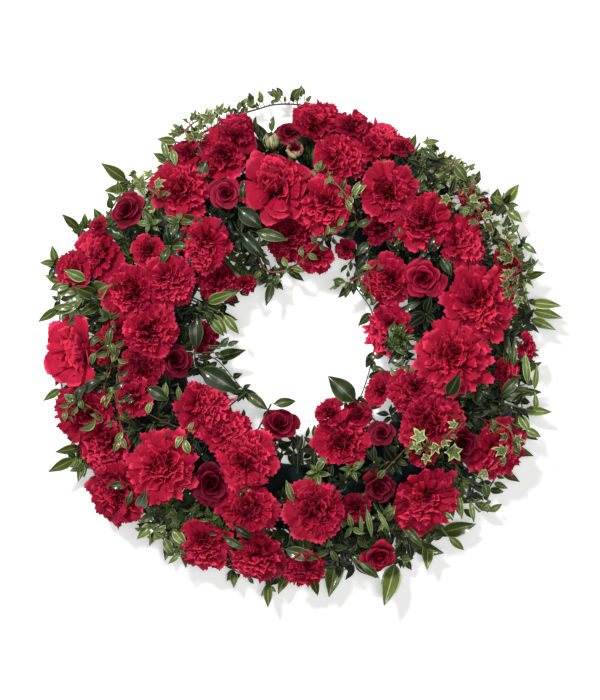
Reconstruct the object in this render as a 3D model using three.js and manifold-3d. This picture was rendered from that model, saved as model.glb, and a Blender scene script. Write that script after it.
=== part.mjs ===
// A round funeral wreath: carnations, roses and leafy sprays whose stems stand in a ring of floral foam.
// Millimetres, +Z up. The wreath lies on its flat back with its flowers upwards.
import * as THREE from "three";
import { mergeVertices } from "three/addons/utils/BufferGeometryUtils.js";
import Module from "manifold-3d";

const wasm = await Module();
wasm.setup();

// Foam ring
const RING_RADIUS = 178; // from the wreath's middle to the foam's centreline
const FOAM_WIDTH = 76;
const FOAM_HEIGHT = 54;
const FOAM_WALL = 26; // height of the straight side walls, below the rounded top
const FOAM_STEPS = 26;
const FOAM_ARC_STEPS = 4;
const CORE_HEIGHT = 27; // the line that every stem points at

// Flower heads
const BLOOM_REACH = 74; // from the core to the middle of a head
const LIFT_STEP = 7; // how far a head stands above or below its neighbours
const MOST_LEAN = THREE.MathUtils.degToRad(62); // the steepest place round the foam that carries a head
const FACE_SHARE = 0.6; // heads turn up again towards the viewer by the rest of their lean
const SWELL = 1.08; // a head is this much wider than the part of it that shows between its neighbours
const STEM_RADIUS = 2.8;
const STEM_FOOT = 16; // from the core to the foot of a stem
const CALYX_LENGTH = 21; // on a full head; less on a small one
const FULL_RADIUS = 28;
const FORK = 20; // a side shoot leaves the main stem this far above its foot
const STEM_SIDES = 3;
const GAP = 0.3; // between pieces that press on each other
const MOST_SHARE = 0.66; // the most of the space between two stems that one head takes up

// Leaves
const LEAF_THICKNESS = 1.2;
const KEEL = 0.15; // depth of the midrib, as a share of half the leaf's width
const BOW = 0.09; // how far a leaf bows up, as a share of its length
const WIDEST = 0.32; // where along it a leaf is full width
const NARROWING = 0.68; // where it starts to come to a point
const NARROWED = 0.78; // its width there, as a share of the full width
const SPRAY_STEM_RADIUS = 1.8;
const SPRAY_HEIGHT = 14; // where a spray's stem leaves the foam wall
const SPRAY_DEPTH = 12; // how deep it goes in
const SPRAY_CLEAR = 13; // how far it runs straight out of the wall
const SPRAY_SOCKET = 5.4; // its hole is wider than it, because the stem bends as it comes out
const OUTER_EDGE = 262; // past this radius the leaves rise
const OUTER_RISE = 0.7;
const INNER_RISE = 0.5;

// Where a thing stands is read from the front view: its pixel across and down, and the real size of a pixel
const PIXEL = 1.15;
const MIDDLE_X = 300;
const MIDDLE_Y = 347;
const FACE_HEIGHT = 90; // the height at which a pixel measures PIXEL
const EYE_HEIGHT = 2330;

const CARNATION_RED = new THREE.MeshStandardMaterial({ color: 0xb9163a, roughness: 0.7, metalness: 0 });
const ROSE_RED = new THREE.MeshStandardMaterial({ color: 0x6e0a26, roughness: 0.55, metalness: 0 });
const LEAF_GREEN = new THREE.MeshStandardMaterial({ color: 0x3c5a28, roughness: 0.45, metalness: 0 });
const FOAM_GREEN = new THREE.MeshStandardMaterial({ color: 0x16382a, roughness: 0.95, metalness: 0 });

const UP = new THREE.Vector3(0, 0, 1);

// The point at height z that shows at a pixel of the front view
function spot(across, down, z) {
  const spread = (PIXEL * (EYE_HEIGHT - z)) / (EYE_HEIGHT - FACE_HEIGHT);
  return new THREE.Vector3((across - MIDDLE_X) * spread, (MIDDLE_Y - down) * spread, z);
}

// Closed solids

// Joins two rings of points with triangles; a ring of one point makes a fan.
function stitch(faces, below, above, belowStart, aboveStart) {
  const n = below.length;
  const m = above.length;
  let i = 0;
  let j = 0;
  while (i < n || j < m) {
    const a = belowStart + (i % n);
    const b = aboveStart + (j % m);
    const stepBelow = n > 1 && (j >= m || m === 1 || (i < n && (i + 1) * m <= (j + 1) * n));
    if (stepBelow) {
      faces.push(a, belowStart + ((i + 1) % n), b);
      i += 1;
    } else {
      faces.push(a, aboveStart + ((j + 1) % m), b);
      j += 1;
    }
    if (m === 1 && i >= n) break;
    if (n === 1 && j >= m) break;
  }
}

// A closed solid through rings of points, from its foot to its top
function loft(rings) {
  const points = rings.flat();
  const faces = [];
  let start = 0;
  const first = rings[0];
  for (let k = 1; k + 1 < first.length; k += 1) faces.push(0, k + 1, k);
  for (let k = 0; k + 1 < rings.length; k += 1) {
    const next = start + rings[k].length;
    stitch(faces, rings[k], rings[k + 1], start, next);
    start = next;
  }
  const last = rings[rings.length - 1];
  for (let k = 1; k + 1 < last.length; k += 1) faces.push(start, start + k, start + k + 1);
  const geometry = new THREE.BufferGeometry().setFromPoints(points);
  geometry.setIndex(faces);
  return solidOf(geometry);
}

function solidOf(geometry) {
  geometry.deleteAttribute("normal");
  geometry.deleteAttribute("uv");
  const merged = mergeVertices(geometry, 1e-4);
  const triVerts = new Uint32Array(merged.index.array);
  const vertProperties = new Float32Array(merged.attributes.position.array);
  return new wasm.Manifold(new wasm.Mesh({ numProp: 3, vertProperties, triVerts }));
}

function geometryOf(solid) {
  const mesh = solid.getMesh();
  const geometry = new THREE.BufferGeometry();
  geometry.setAttribute("position", new THREE.BufferAttribute(new Float32Array(mesh.vertProperties), 3));
  geometry.setIndex(new THREE.BufferAttribute(new Uint32Array(mesh.triVerts), 1));
  geometry.computeVertexNormals();
  return geometry;
}

// A ring of points round an axis: shape(k) gives each point's distance out and its height along the axis
function ringOf(centre, axis, sides, shape) {
  const aside = new THREE.Vector3(-centre.y, centre.x, 0).projectOnPlane(axis).normalize();
  const across = new THREE.Vector3().crossVectors(axis, aside);
  return Array.from({ length: sides }, (_, k) => {
    const angle = (2 * Math.PI * k) / sides;
    const [out, high] = shape(k);
    return centre
      .clone()
      .addScaledVector(aside, out * Math.cos(angle))
      .addScaledVector(across, out * Math.sin(angle))
      .addScaledVector(axis, high);
  });
}

// Foam ring

function foamRing() {
  const half = FOAM_WIDTH / 2;
  const profile = [new THREE.Vector2(RING_RADIUS - half, 0), new THREE.Vector2(RING_RADIUS + half, 0)];
  for (let k = 0; k <= FOAM_ARC_STEPS; k += 1) {
    const angle = (Math.PI * k) / FOAM_ARC_STEPS;
    const height = FOAM_WALL + (FOAM_HEIGHT - FOAM_WALL) * Math.sin(angle);
    profile.push(new THREE.Vector2(RING_RADIUS + half * Math.cos(angle), height));
  }
  profile.push(profile[0].clone());
  const ring = new THREE.LatheGeometry(profile, FOAM_STEPS);
  ring.rotateX(Math.PI / 2);
  return solidOf(ring);
}

// Flower heads

const zigzag = (k, tall, low) => (k % 2 ? low : tall);

// A carnation's ruffled dome, as shares of its radius
const dome = (sides) => ({
  material: CARNATION_RED,
  depth: 0.5,
  calyx: 0.24,
  rings: [
    { sides, shape: (k) => [zigzag(k, 1.0, 0.87), zigzag(k, -0.06, 0.12)] },
    { sides, shape: (k) => [zigzag(k, 0.6, 0.72), zigzag(k, 0.26, 0.4)] },
    { sides: sides / 2, shape: (k) => [zigzag(k, 0.34, 0.28), zigzag(k, 0.5, 0.38)] },
  ],
  top: 0.36,
});
const CARNATION = dome(10);
const SMALL = dome(6);

// A bud still closed on its petals, as shares of its radius
const BUD = {
  material: ROSE_RED,
  depth: 1.1,
  calyx: 0.5,
  rings: [
    { sides: 6, shape: () => [1.0, -0.2] },
    { sides: 6, shape: () => [0.6, 0.7] },
  ],
  top: 1.0,
};

// A rose's cup of petals round a tight heart, as shares of its radius
const ROSE = {
  material: ROSE_RED,
  depth: 0.75,
  calyx: 0.42,
  rings: [
    { sides: 8, shape: (k) => [zigzag(k, 1.0, 0.88), zigzag(k, 0.1, 0.2)] },
    { sides: 5, shape: () => [0.66, 0.22] },
    { sides: 5, shape: (k) => [zigzag(k, 0.42, 0.36), zigzag(k, 0.52, 0.44)] },
  ],
  top: 0.34,
};

// Each flower: its kind, its pixel across and down in the front view, the width that shows
// and how far it is lifted
const head = (kind, across, down, width, lift = 0) => ({ kind, across, down, width, lift });

// A stem's main flower comes first; any others grow from the same stem on side shoots.
const STEMS = {
  rose_01: [head(ROSE, 127, 210, 42)],
  rose_02: [head(ROSE, 424, 279, 44)],
  rose_03: [head(ROSE, 463, 446, 42)],
  rose_04: [head(ROSE, 279, 423, 42)],
  rose_05: [head(ROSE, 212, 485, 48)],
  rose_06: [head(ROSE, 380, 557, 42)],
  rose_07: [head(ROSE, 226, 194, 38, -0.5)],
  rose_08: [head(ROSE, 176, 361, 40, -1), head(SMALL, 206, 338, 36, -1)],
  rose_09: [head(ROSE, 379, 488, 36, -1), head(SMALL, 355, 507, 34, -1)],
  budding_rose: [head(ROSE, 289, 132, 32, -1), head(BUD, 295, 148, 18), head(BUD, 271, 139, 20)],
  carnation_01: [head(CARNATION, 180, 188, 66), head(SMALL, 187, 152, 36, -1)],
  carnation_02: [head(CARNATION, 98, 253, 56), head(SMALL, 73, 270, 44)],
  carnation_03: [head(CARNATION, 206, 245, 56)],
  carnation_04: [head(CARNATION, 222, 155, 64)],
  carnation_05: [head(CARNATION, 238, 132, 54, -1)],
  carnation_06: [head(CARNATION, 278, 186, 78, 1)],
  carnation_07: [head(CARNATION, 325, 205, 60, 1)],
  carnation_08: [head(CARNATION, 290, 238, 54, -1), head(SMALL, 317, 258, 42)],
  carnation_09: [head(CARNATION, 316, 122, 56), head(SMALL, 351, 124, 38)],
  carnation_10: [head(CARNATION, 337, 158, 60)],
  carnation_11: [head(CARNATION, 378, 144, 56)],
  carnation_12: [head(CARNATION, 388, 190, 60), head(SMALL, 379, 229, 36, -1)],
  carnation_13: [head(CARNATION, 425, 222, 64)],
  carnation_14: [head(CARNATION, 461, 241, 52), head(SMALL, 475, 205, 38, -1)],
  carnation_15: [head(CARNATION, 387, 282, 56)],
  carnation_16: [head(CARNATION, 387, 328, 54)],
  carnation_17: [head(CARNATION, 480, 304, 82), head(SMALL, 507, 262, 38, -1)],
  carnation_18: [head(CARNATION, 454, 357, 80, 1)],
  carnation_19: [head(CARNATION, 412, 390, 54), head(SMALL, 381, 389, 40)],
  carnation_20: [head(CARNATION, 430, 420, 66), head(SMALL, 422, 450, 38, -1)],
  carnation_21: [head(CARNATION, 497, 450, 64)],
  carnation_22: [head(CARNATION, 425, 499, 76)],
  carnation_23: [head(CARNATION, 226, 431, 58), head(CARNATION, 203, 406, 60)],
  carnation_24: [head(CARNATION, 247, 459, 64, 1)],
  carnation_25: [head(CARNATION, 249, 509, 62)],
  carnation_26: [head(CARNATION, 203, 545, 60)],
  carnation_27: [head(CARNATION, 258, 558, 64)],
  carnation_28: [head(CARNATION, 304, 570, 50)],
  carnation_29: [head(CARNATION, 341, 442, 62), head(SMALL, 330, 412, 36), head(SMALL, 358, 414, 34)],
  carnation_30: [head(CARNATION, 316, 510, 64)],
  carnation_31: [head(CARNATION, 82, 413, 64, -1)],
  carnation_32: [head(CARNATION, 103, 444, 56)],
  carnation_33: [head(CARNATION, 118, 493, 62)],
  carnation_34: [head(CARNATION, 163, 467, 76, 1)],
  carnation_35: [head(CARNATION, 130, 291, 60)],
  carnation_36: [head(CARNATION, 169, 280, 54), head(SMALL, 148, 250, 38)],
  carnation_37: [head(CARNATION, 151, 331, 58), head(SMALL, 119, 332, 38, -1)],
  carnation_38: [head(CARNATION, 77, 350, 80)],
  carnation_39: [head(CARNATION, 141, 366, 48, -1), head(SMALL, 134, 397, 42)],
  carnation_40: [head(CARNATION, 222, 283, 52, -1)],
};

// Where a bloom's head, calyx and stem lie, worked out from its place in the front view
function lay(flower) {
  let height = FACE_HEIGHT;
  let point;
  let lean;
  for (let pass = 0; pass < 4; pass += 1) {
    point = spot(flower.across, flower.down, height);
    const out = Math.hypot(point.x, point.y) - RING_RADIUS;
    const reach = Math.max(BLOOM_REACH + LIFT_STEP * flower.lift, Math.abs(out) / Math.sin(MOST_LEAN));
    lean = Math.asin(out / reach);
    height = CORE_HEIGHT + reach * Math.cos(lean);
  }
  const outward = new THREE.Vector3(point.x, point.y, 0).normalize();
  const turn = lean * FACE_SHARE;
  const axis = outward.clone().multiplyScalar(Math.sin(turn)).addScaledVector(UP, Math.cos(turn));
  const radius = (SWELL * flower.width) / 2;
  const calyx = CALYX_LENGTH * Math.min(1, radius / FULL_RADIUS);
  const calyxTop = point.clone().addScaledVector(axis, -flower.kind.depth * radius);
  const calyxFoot = calyxTop.clone().addScaledVector(axis, -calyx);
  const core = outward.clone().multiplyScalar(RING_RADIUS).addScaledVector(UP, CORE_HEIGHT);
  const along = calyxFoot.clone().sub(core).normalize();
  const foot = core.clone().addScaledVector(along, STEM_FOOT);
  return { ...flower, radius, head: point, axis, calyxTop, calyxFoot, along, foot };
}

// A side shoot starts inside the main stem instead of in the foam.
function branchFrom(main, shoot) {
  shoot.foot = main.foot.clone().addScaledVector(main.along, FORK);
  shoot.along = shoot.calyxFoot.clone().sub(shoot.foot).normalize();
}

function flowerSolid(flower) {
  const { radius, kind, head, axis } = flower;
  const rings = [
    ringOf(flower.foot, flower.along, STEM_SIDES, () => [STEM_RADIUS, 0]),
    ringOf(flower.calyxFoot, flower.axis, STEM_SIDES, () => [STEM_RADIUS, 0]),
    ringOf(flower.calyxTop, axis, 4, () => [kind.calyx * radius, 0]),
  ];
  for (const { sides, shape } of kind.rings) {
    rings.push(ringOf(head, axis, sides, (k) => shape(k).map((share) => share * radius)));
  }
  rings.push([head.clone().addScaledVector(axis, kind.top * radius)]);
  return loft(rings);
}

// The hole that a stem stands in, a gap deeper than the stem
function socket(foot, along, reach, width) {
  return loft([
    ringOf(foot, along, STEM_SIDES, () => [width, -GAP]),
    ringOf(foot, along, STEM_SIDES, () => [width, reach]),
  ]);
}

// Neighbours press flat against each other along a plane that lies between their stems.
function part(flower, other) {
  const between = other.head.clone().sub(flower.head);
  const grow = flower.head.clone().sub(flower.foot).normalize();
  grow.add(other.head.clone().sub(other.foot).normalize()).normalize();
  const normal = between.projectOnPlane(grow);
  const distance = normal.length();
  normal.normalize();
  const front = LIFT_STEP * (flower.lift - other.lift);
  const share = 0.5 + (flower.radius - other.radius + front) / (2 * distance);
  const kept = THREE.MathUtils.clamp(share, 1 - MOST_SHARE, MOST_SHARE) * distance - GAP / 2;
  const offset = flower.head.dot(normal) + kept;
  return { normal, offset };
}

function pressed(flower, others) {
  let solid = flowerSolid(flower);
  for (const other of others) {
    if (flower.head.distanceTo(other.head) > flower.radius + other.radius) continue;
    const { normal, offset } = part(flower, other);
    solid = solid.trimByPlane([-normal.x, -normal.y, -normal.z], -offset);
  }
  return solid;
}

// Leafy sprays

// The height of a leaf above the table: low beside the foam, rising as it comes out from under the flowers
function leafHeight(radius) {
  const inner = RING_RADIUS - FOAM_WIDTH / 2;
  if (radius < inner) return SPRAY_HEIGHT + INNER_RISE * (inner - radius);
  return SPRAY_HEIGHT + OUTER_RISE * Math.max(0, radius - OUTER_EDGE);
}

function leafSpot(across, down) {
  let point = spot(across, down, SPRAY_HEIGHT);
  for (let pass = 0; pass < 3; pass += 1) {
    point = spot(across, down, leafHeight(Math.hypot(point.x, point.y)));
  }
  return point;
}

// A pointed leaf, bowed along its length and keeled along its midrib
function leafSolid(base, tip, slender) {
  const along = tip.clone().sub(base);
  const length = along.length();
  const side = new THREE.Vector3().crossVectors(along, UP).normalize();
  const face = new THREE.Vector3().crossVectors(side, along).normalize();
  const section = (share, spread) => {
    const half = (spread * slender * length) / 2;
    const bow = BOW * length * Math.sin(Math.PI * share);
    const middle = base.clone().addScaledVector(along, share).addScaledVector(face, bow);
    return [
      middle.clone().addScaledVector(side, -half),
      middle.clone().addScaledVector(side, half),
      middle.clone().addScaledVector(face, -LEAF_THICKNESS - KEEL * half),
    ];
  };
  return loft([[base], section(WIDEST, 1), section(NARROWING, NARROWED), [tip]]);
}

// A spray: leaves in order along its stem, each from its base pixel to its tip pixel
const spray = (name, slender, ...leaves) => ({ name, slender, leaves });

const SPRAYS = [
  spray("leaf_spray_upper_left", 0.36,
    [178, 142, 157, 139], [170, 162, 153, 153], [132, 187, 104, 191], [128, 182, 101, 163],
    [102, 222, 94, 208], [80, 230, 62, 214], [80, 262, 70, 250], [57, 266, 52, 245]),
  spray("leaf_spray_left", 0.34,
    [62, 283, 45, 275], [60, 308, 38, 322], [62, 388, 43, 401],
    [83, 447, 55, 452], [76, 458, 48, 472], [84, 462, 78, 482]),
  spray("leaf_spray_lower_left", 0.34,
    [96, 474, 86, 492], [126, 500, 104, 494], [134, 500, 126, 516], [150, 512, 138, 531],
    [160, 524, 149, 546], [172, 532, 165, 561], [184, 540, 186, 568], [234, 570, 234, 588],
    [268, 582, 268, 608]),
  spray("leaf_spray_bottom", 0.32,
    [288, 570, 278, 594], [312, 574, 318, 596], [335, 556, 330, 597], [352, 552, 376, 578],
    [396, 560, 384, 606], [410, 545, 444, 553], [428, 540, 427, 570], [437, 533, 476, 524]),
  spray("leaf_spray_lower_right", 0.34,
    [474, 502, 496, 512], [500, 470, 520, 482], [512, 448, 534, 456], [518, 430, 538, 440],
    [522, 410, 552, 412], [520, 392, 542, 392], [520, 372, 542, 362]),
  spray("leaf_spray_right", 0.32,
    [528, 318, 556, 330], [530, 310, 563, 318], [528, 302, 562, 306], [522, 278, 546, 272],
    [521, 242, 537, 254], [506, 209, 522, 222], [504, 204, 519, 184], [494, 206, 498, 188],
    [474, 186, 480, 170], [456, 176, 462, 160], [436, 166, 446, 150], [410, 150, 416, 134]),
  spray("leaf_spray_inner_left", 0.34,
    [286, 268, 304, 281], [273, 281, 266, 306], [261, 273, 252, 289], [228, 300, 240, 302],
    [213, 314, 238, 320], [198, 316, 197, 352], [196, 366, 240, 392], [214, 358, 246, 350],
    [240, 386, 266, 409]),
  spray("leaf_spray_inner_right", 0.36,
    [354, 282, 338, 298], [372, 312, 358, 326], [374, 350, 366, 368], [358, 402, 328, 376],
    [338, 414, 320, 402]),
  spray("twining_vine", 0.5,
    [194, 142, 186, 130], [212, 128, 207, 108], [228, 118, 224, 107], [244, 113, 254, 96],
    [258, 109, 262, 95], [272, 105, 280, 92], [288, 104, 300, 88], [304, 105, 310, 97]),
];

// The stem comes out of the foam wall level and runs past the base of each leaf.
function sprayPath(leaves) {
  const bases = leaves.map(([across, down]) => leafSpot(across, down));
  const first = bases[0];
  const outward = new THREE.Vector3(first.x, first.y, 0).normalize();
  const way = Math.sign(first.clone().dot(outward) - RING_RADIUS);
  const wall = RING_RADIUS + (way * FOAM_WIDTH) / 2;
  const level = (radius) => outward.clone().multiplyScalar(radius).addScaledVector(UP, SPRAY_HEIGHT);
  const foot = level(wall - way * SPRAY_DEPTH);
  const mouth = level(wall);
  const exit = level(wall + way * SPRAY_CLEAR);
  const last = leaves[leaves.length - 1];
  const end = bases[bases.length - 1].clone().lerp(leafSpot(last[2], last[3]), 0.25);
  return { foot, along: outward.multiplyScalar(way), points: [foot, mouth, exit, ...bases, end] };
}

// A spray's stem, with each leaf growing from the nearest joint along it
function spraySolid({ slender, leaves }, points) {
  const section = new THREE.Shape();
  for (let k = 0; k < STEM_SIDES; k += 1) {
    const angle = (2 * Math.PI * k) / STEM_SIDES;
    const corner = [SPRAY_STEM_RADIUS * Math.cos(angle), SPRAY_STEM_RADIUS * Math.sin(angle)];
    section[k ? "lineTo" : "moveTo"](...corner);
  }
  const extrudePath = new THREE.CatmullRomCurve3(points, false, "centripetal");
  const steps = leaves.length + 3;
  let solid = solidOf(new THREE.ExtrudeGeometry(section, { extrudePath, steps, bevelEnabled: false }));
  const joints = extrudePath.getSpacedPoints(steps).slice(3, -1);
  for (const [baseX, baseY, tipX, tipY] of leaves) {
    const base = leafSpot(baseX, baseY);
    const far = (joint) => joint.distanceTo(base);
    const joint = joints.reduce((best, next) => (far(next) < far(best) ? next : best));
    solid = solid.add(leafSolid(joint, leafSpot(tipX, tipY), slender));
  }
  return solid;
}

// The wreath

const wreath = new THREE.Group();

// Adds a piece whose own origin is at a given point of it
function addPiece(name, solid, origin, material) {
  const geometry = geometryOf(solid).translate(-origin.x, -origin.y, -origin.z);
  const mesh = new THREE.Mesh(geometry, material);
  mesh.name = name;
  mesh.position.copy(origin);
  wreath.add(mesh);
}

const stems = Object.entries(STEMS).map(([name, heads]) => ({ name, heads: heads.map(lay) }));
const flowers = stems.flatMap(({ heads }) => heads);
let foam = foamRing();
for (const { name, heads } of stems) {
  const [main, ...shoots] = heads;
  for (const shoot of shoots) branchFrom(main, shoot);
  const others = flowers.filter((flower) => !heads.includes(flower));
  const solid = heads.map((flower) => pressed(flower, others)).reduce((whole, next) => whole.add(next));
  addPiece(name, solid, main.head, main.kind.material);
  foam = foam.subtract(socket(main.foot, main.along, FOAM_WIDTH / 2, STEM_RADIUS + 2 * GAP));
}
for (const greenery of SPRAYS) {
  const { foot, along, points } = sprayPath(greenery.leaves);
  addPiece(greenery.name, spraySolid(greenery, points), foot, LEAF_GREEN);
  foam = foam.subtract(socket(foot, along, SPRAY_DEPTH + SPRAY_CLEAR, SPRAY_SOCKET));
}
addPiece("foam_ring", foam, new THREE.Vector3(), FOAM_GREEN);

// The origin is under the middle of the whole wreath.
wreath.updateMatrixWorld(true);
const box = new THREE.Box3().setFromObject(wreath, true);
const middle = box.getCenter(new THREE.Vector3());
wreath.position.set(-middle.x, -middle.y, -box.min.z);

export default wreath;
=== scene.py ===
import math
from dataclasses import dataclass

import bpy
import numpy as np
from bpy.props import FloatProperty, FloatVectorProperty, IntProperty, PointerProperty
from bpy.types import Operator, Panel, PropertyGroup
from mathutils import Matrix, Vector


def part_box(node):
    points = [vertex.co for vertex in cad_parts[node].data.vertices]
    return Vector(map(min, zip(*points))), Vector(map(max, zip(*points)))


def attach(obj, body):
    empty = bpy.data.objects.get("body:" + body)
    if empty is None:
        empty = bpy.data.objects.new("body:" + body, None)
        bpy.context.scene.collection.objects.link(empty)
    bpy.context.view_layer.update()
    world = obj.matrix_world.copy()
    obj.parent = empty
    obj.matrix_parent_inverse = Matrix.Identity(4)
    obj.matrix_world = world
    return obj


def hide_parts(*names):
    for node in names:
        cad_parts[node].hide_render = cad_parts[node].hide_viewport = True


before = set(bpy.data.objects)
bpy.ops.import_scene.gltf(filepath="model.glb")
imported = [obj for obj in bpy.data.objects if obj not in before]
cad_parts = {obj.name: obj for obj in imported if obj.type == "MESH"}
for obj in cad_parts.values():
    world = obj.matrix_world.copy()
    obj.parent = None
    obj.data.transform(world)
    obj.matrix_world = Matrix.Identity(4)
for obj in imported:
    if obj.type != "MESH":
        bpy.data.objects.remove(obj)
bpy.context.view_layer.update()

bl_info = {
    "name": "Funeral Wreath",
    "version": (1, 0, 0),
    "blender": (4, 5, 0),
    "location": "3D View > Sidebar > Wreath",
    "description": "Builds the petals, leaves, ivy and foam of a round funeral wreath",
    "category": "Object",
}

MM = 0.001
UP = np.array([0.0, 0.0, 1.0])
GOLDEN_ANGLE = math.radians(137.5)  # from one petal or leaf to the next round a stem

# Foam ring and stems, as in the solids
RING_RADIUS = 178 * MM
FOAM_WIDTH = 76 * MM
FOAM_HEIGHT = 54 * MM
FOAM_WALL = 26 * MM
CORE_HEIGHT = 27 * MM  # the middle of the foam's section
BLOOM_REACH = 74 * MM  # from there to the middle of a head
LIFT_STEP = 7 * MM  # how much farther out each step of lift puts it
MOST_LEAN = math.radians(62)
FACE_SHARE = 0.6  # the share of its lean that a head faces by
SWELL = 1.08  # heads are this much wider than their listed width
STEM_RADIUS = 2.8 * MM
STEM_FOOT = 16 * MM
CALYX_LENGTH = 21 * MM
FULL_RADIUS = 28 * MM
FORK = 20 * MM  # from the foot of a stem to its side shoots
SPRAY_STEM_RADIUS = 1.8 * MM
SPRAY_HEIGHT = 14 * MM
SPRAY_DEPTH = 12 * MM
SPRAY_CLEAR = 13 * MM
OUTER_EDGE = 262 * MM
OUTER_RISE = 0.7
INNER_RISE = 0.5

# The front view: the size of a pixel, and the pixel that the ring's middle shows at
PIXEL = 1.15 * MM
MIDDLE_X = 300
MIDDLE_Y = 347
FACE_HEIGHT = 90 * MM
EYE_HEIGHT = 2330 * MM
FRAME_DOWN = 700
SENSOR = 36.0

# The table, and the lamps over it: where each is, how wide and how strong
TABLE_REACH = 6.0
TABLE_DROP = 0.2 * MM
LAMPS = {
    "key_light": ((-0.8, 1.15, 2.5), 0.35, 74.0),
    "soft_box": ((0.2, -0.1, 2.9), 1.0, 34.0),
}
LAMP_AIM = (0.0, 0.0, 0.05)

FOAM_LOW, FOAM_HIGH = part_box("foam_ring")
RING_MIDDLE = np.array([(FOAM_LOW[0] + FOAM_HIGH[0]) / 2, (FOAM_LOW[1] + FOAM_HIGH[1]) / 2, 0.0])

# Material slots within a piece
PETAL_SLOT = 0
LEAF_SLOT = 0
STEM_SLOT = 1
BUD_SLOT = 2
NARROW_SLOT = 2

# The kinds of flower, with how deep the head is and how wide its calyx, as shares of its radius
CARNATION = "carnation"
SMALL = "small"
ROSE = "rose"
BUD = "bud"
DEPTH = {CARNATION: 0.5, SMALL: 0.5, ROSE: 0.75, BUD: 1.1}
CALYX = {CARNATION: 0.24, SMALL: 0.24, ROSE: 0.42, BUD: 0.5}

# How heads press against each other: the most of the way to its neighbour that a head takes up, the share
# that it takes up beside a bud, the room that a bud keeps, how softly petals give way, how far they fold up
MOST_SHARE = 0.66
BUD_SHARE = 0.58
BUD_ROOM = 10 * MM
GIVE = 0.2
FOLD_UP = 0.35

# How high each kind of petal starts, in radii from the middle of its head
OPEN_FOOT = -0.48
CRUMPLED_FOOT = -0.45
ROSE_FOOT = -0.7
BUD_FOOT = -1.0

# The dome of a head, in radii: how far out it reaches, how high it is in the middle and how fast it falls
DOME_REACH = 1.05
DOME_TOP = 0.5
DOME_FALL = 0.34

# Each flower: kind, pixel across and down in the front view, width in millimetres, lift, and how pale it is.
# A stem's main flower comes first; any others grow from the same stem on side shoots.
# A low paleness is partly a flower's own deeper tone and partly painted shade, for heads that sit low among
# the others.
ROSES = {
    "rose_01": [(ROSE, 127, 210, 42, 0, 0.2)],
    "rose_02": [(ROSE, 424, 279, 44, 0, 0.9)],
    "rose_03": [(ROSE, 463, 446, 42, 0, 0.05)],
    "rose_04": [(ROSE, 279, 423, 42, 0, 0.35)],
    "rose_05": [(ROSE, 212, 485, 48, 0, 0.0)],
    "rose_06": [(ROSE, 380, 557, 42, 0, 0.95)],
    "rose_07": [(ROSE, 226, 194, 38, -0.5, 0.5)],
    "rose_08": [(ROSE, 176, 361, 40, -1, 0.0), (SMALL, 206, 338, 36, -1, 0.4)],
    "rose_09": [(ROSE, 379, 488, 36, -1.4, 0.0), (SMALL, 355, 507, 34, -1, 0.75)],
}
BUDDING = {
    "budding_rose": [
        (ROSE, 289, 132, 32, -1, 0.2),
        (BUD, 295, 148, 21, 0.3, 0.9),
        (BUD, 271, 139, 20, 0.2, 0.1),
    ],
}
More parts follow.
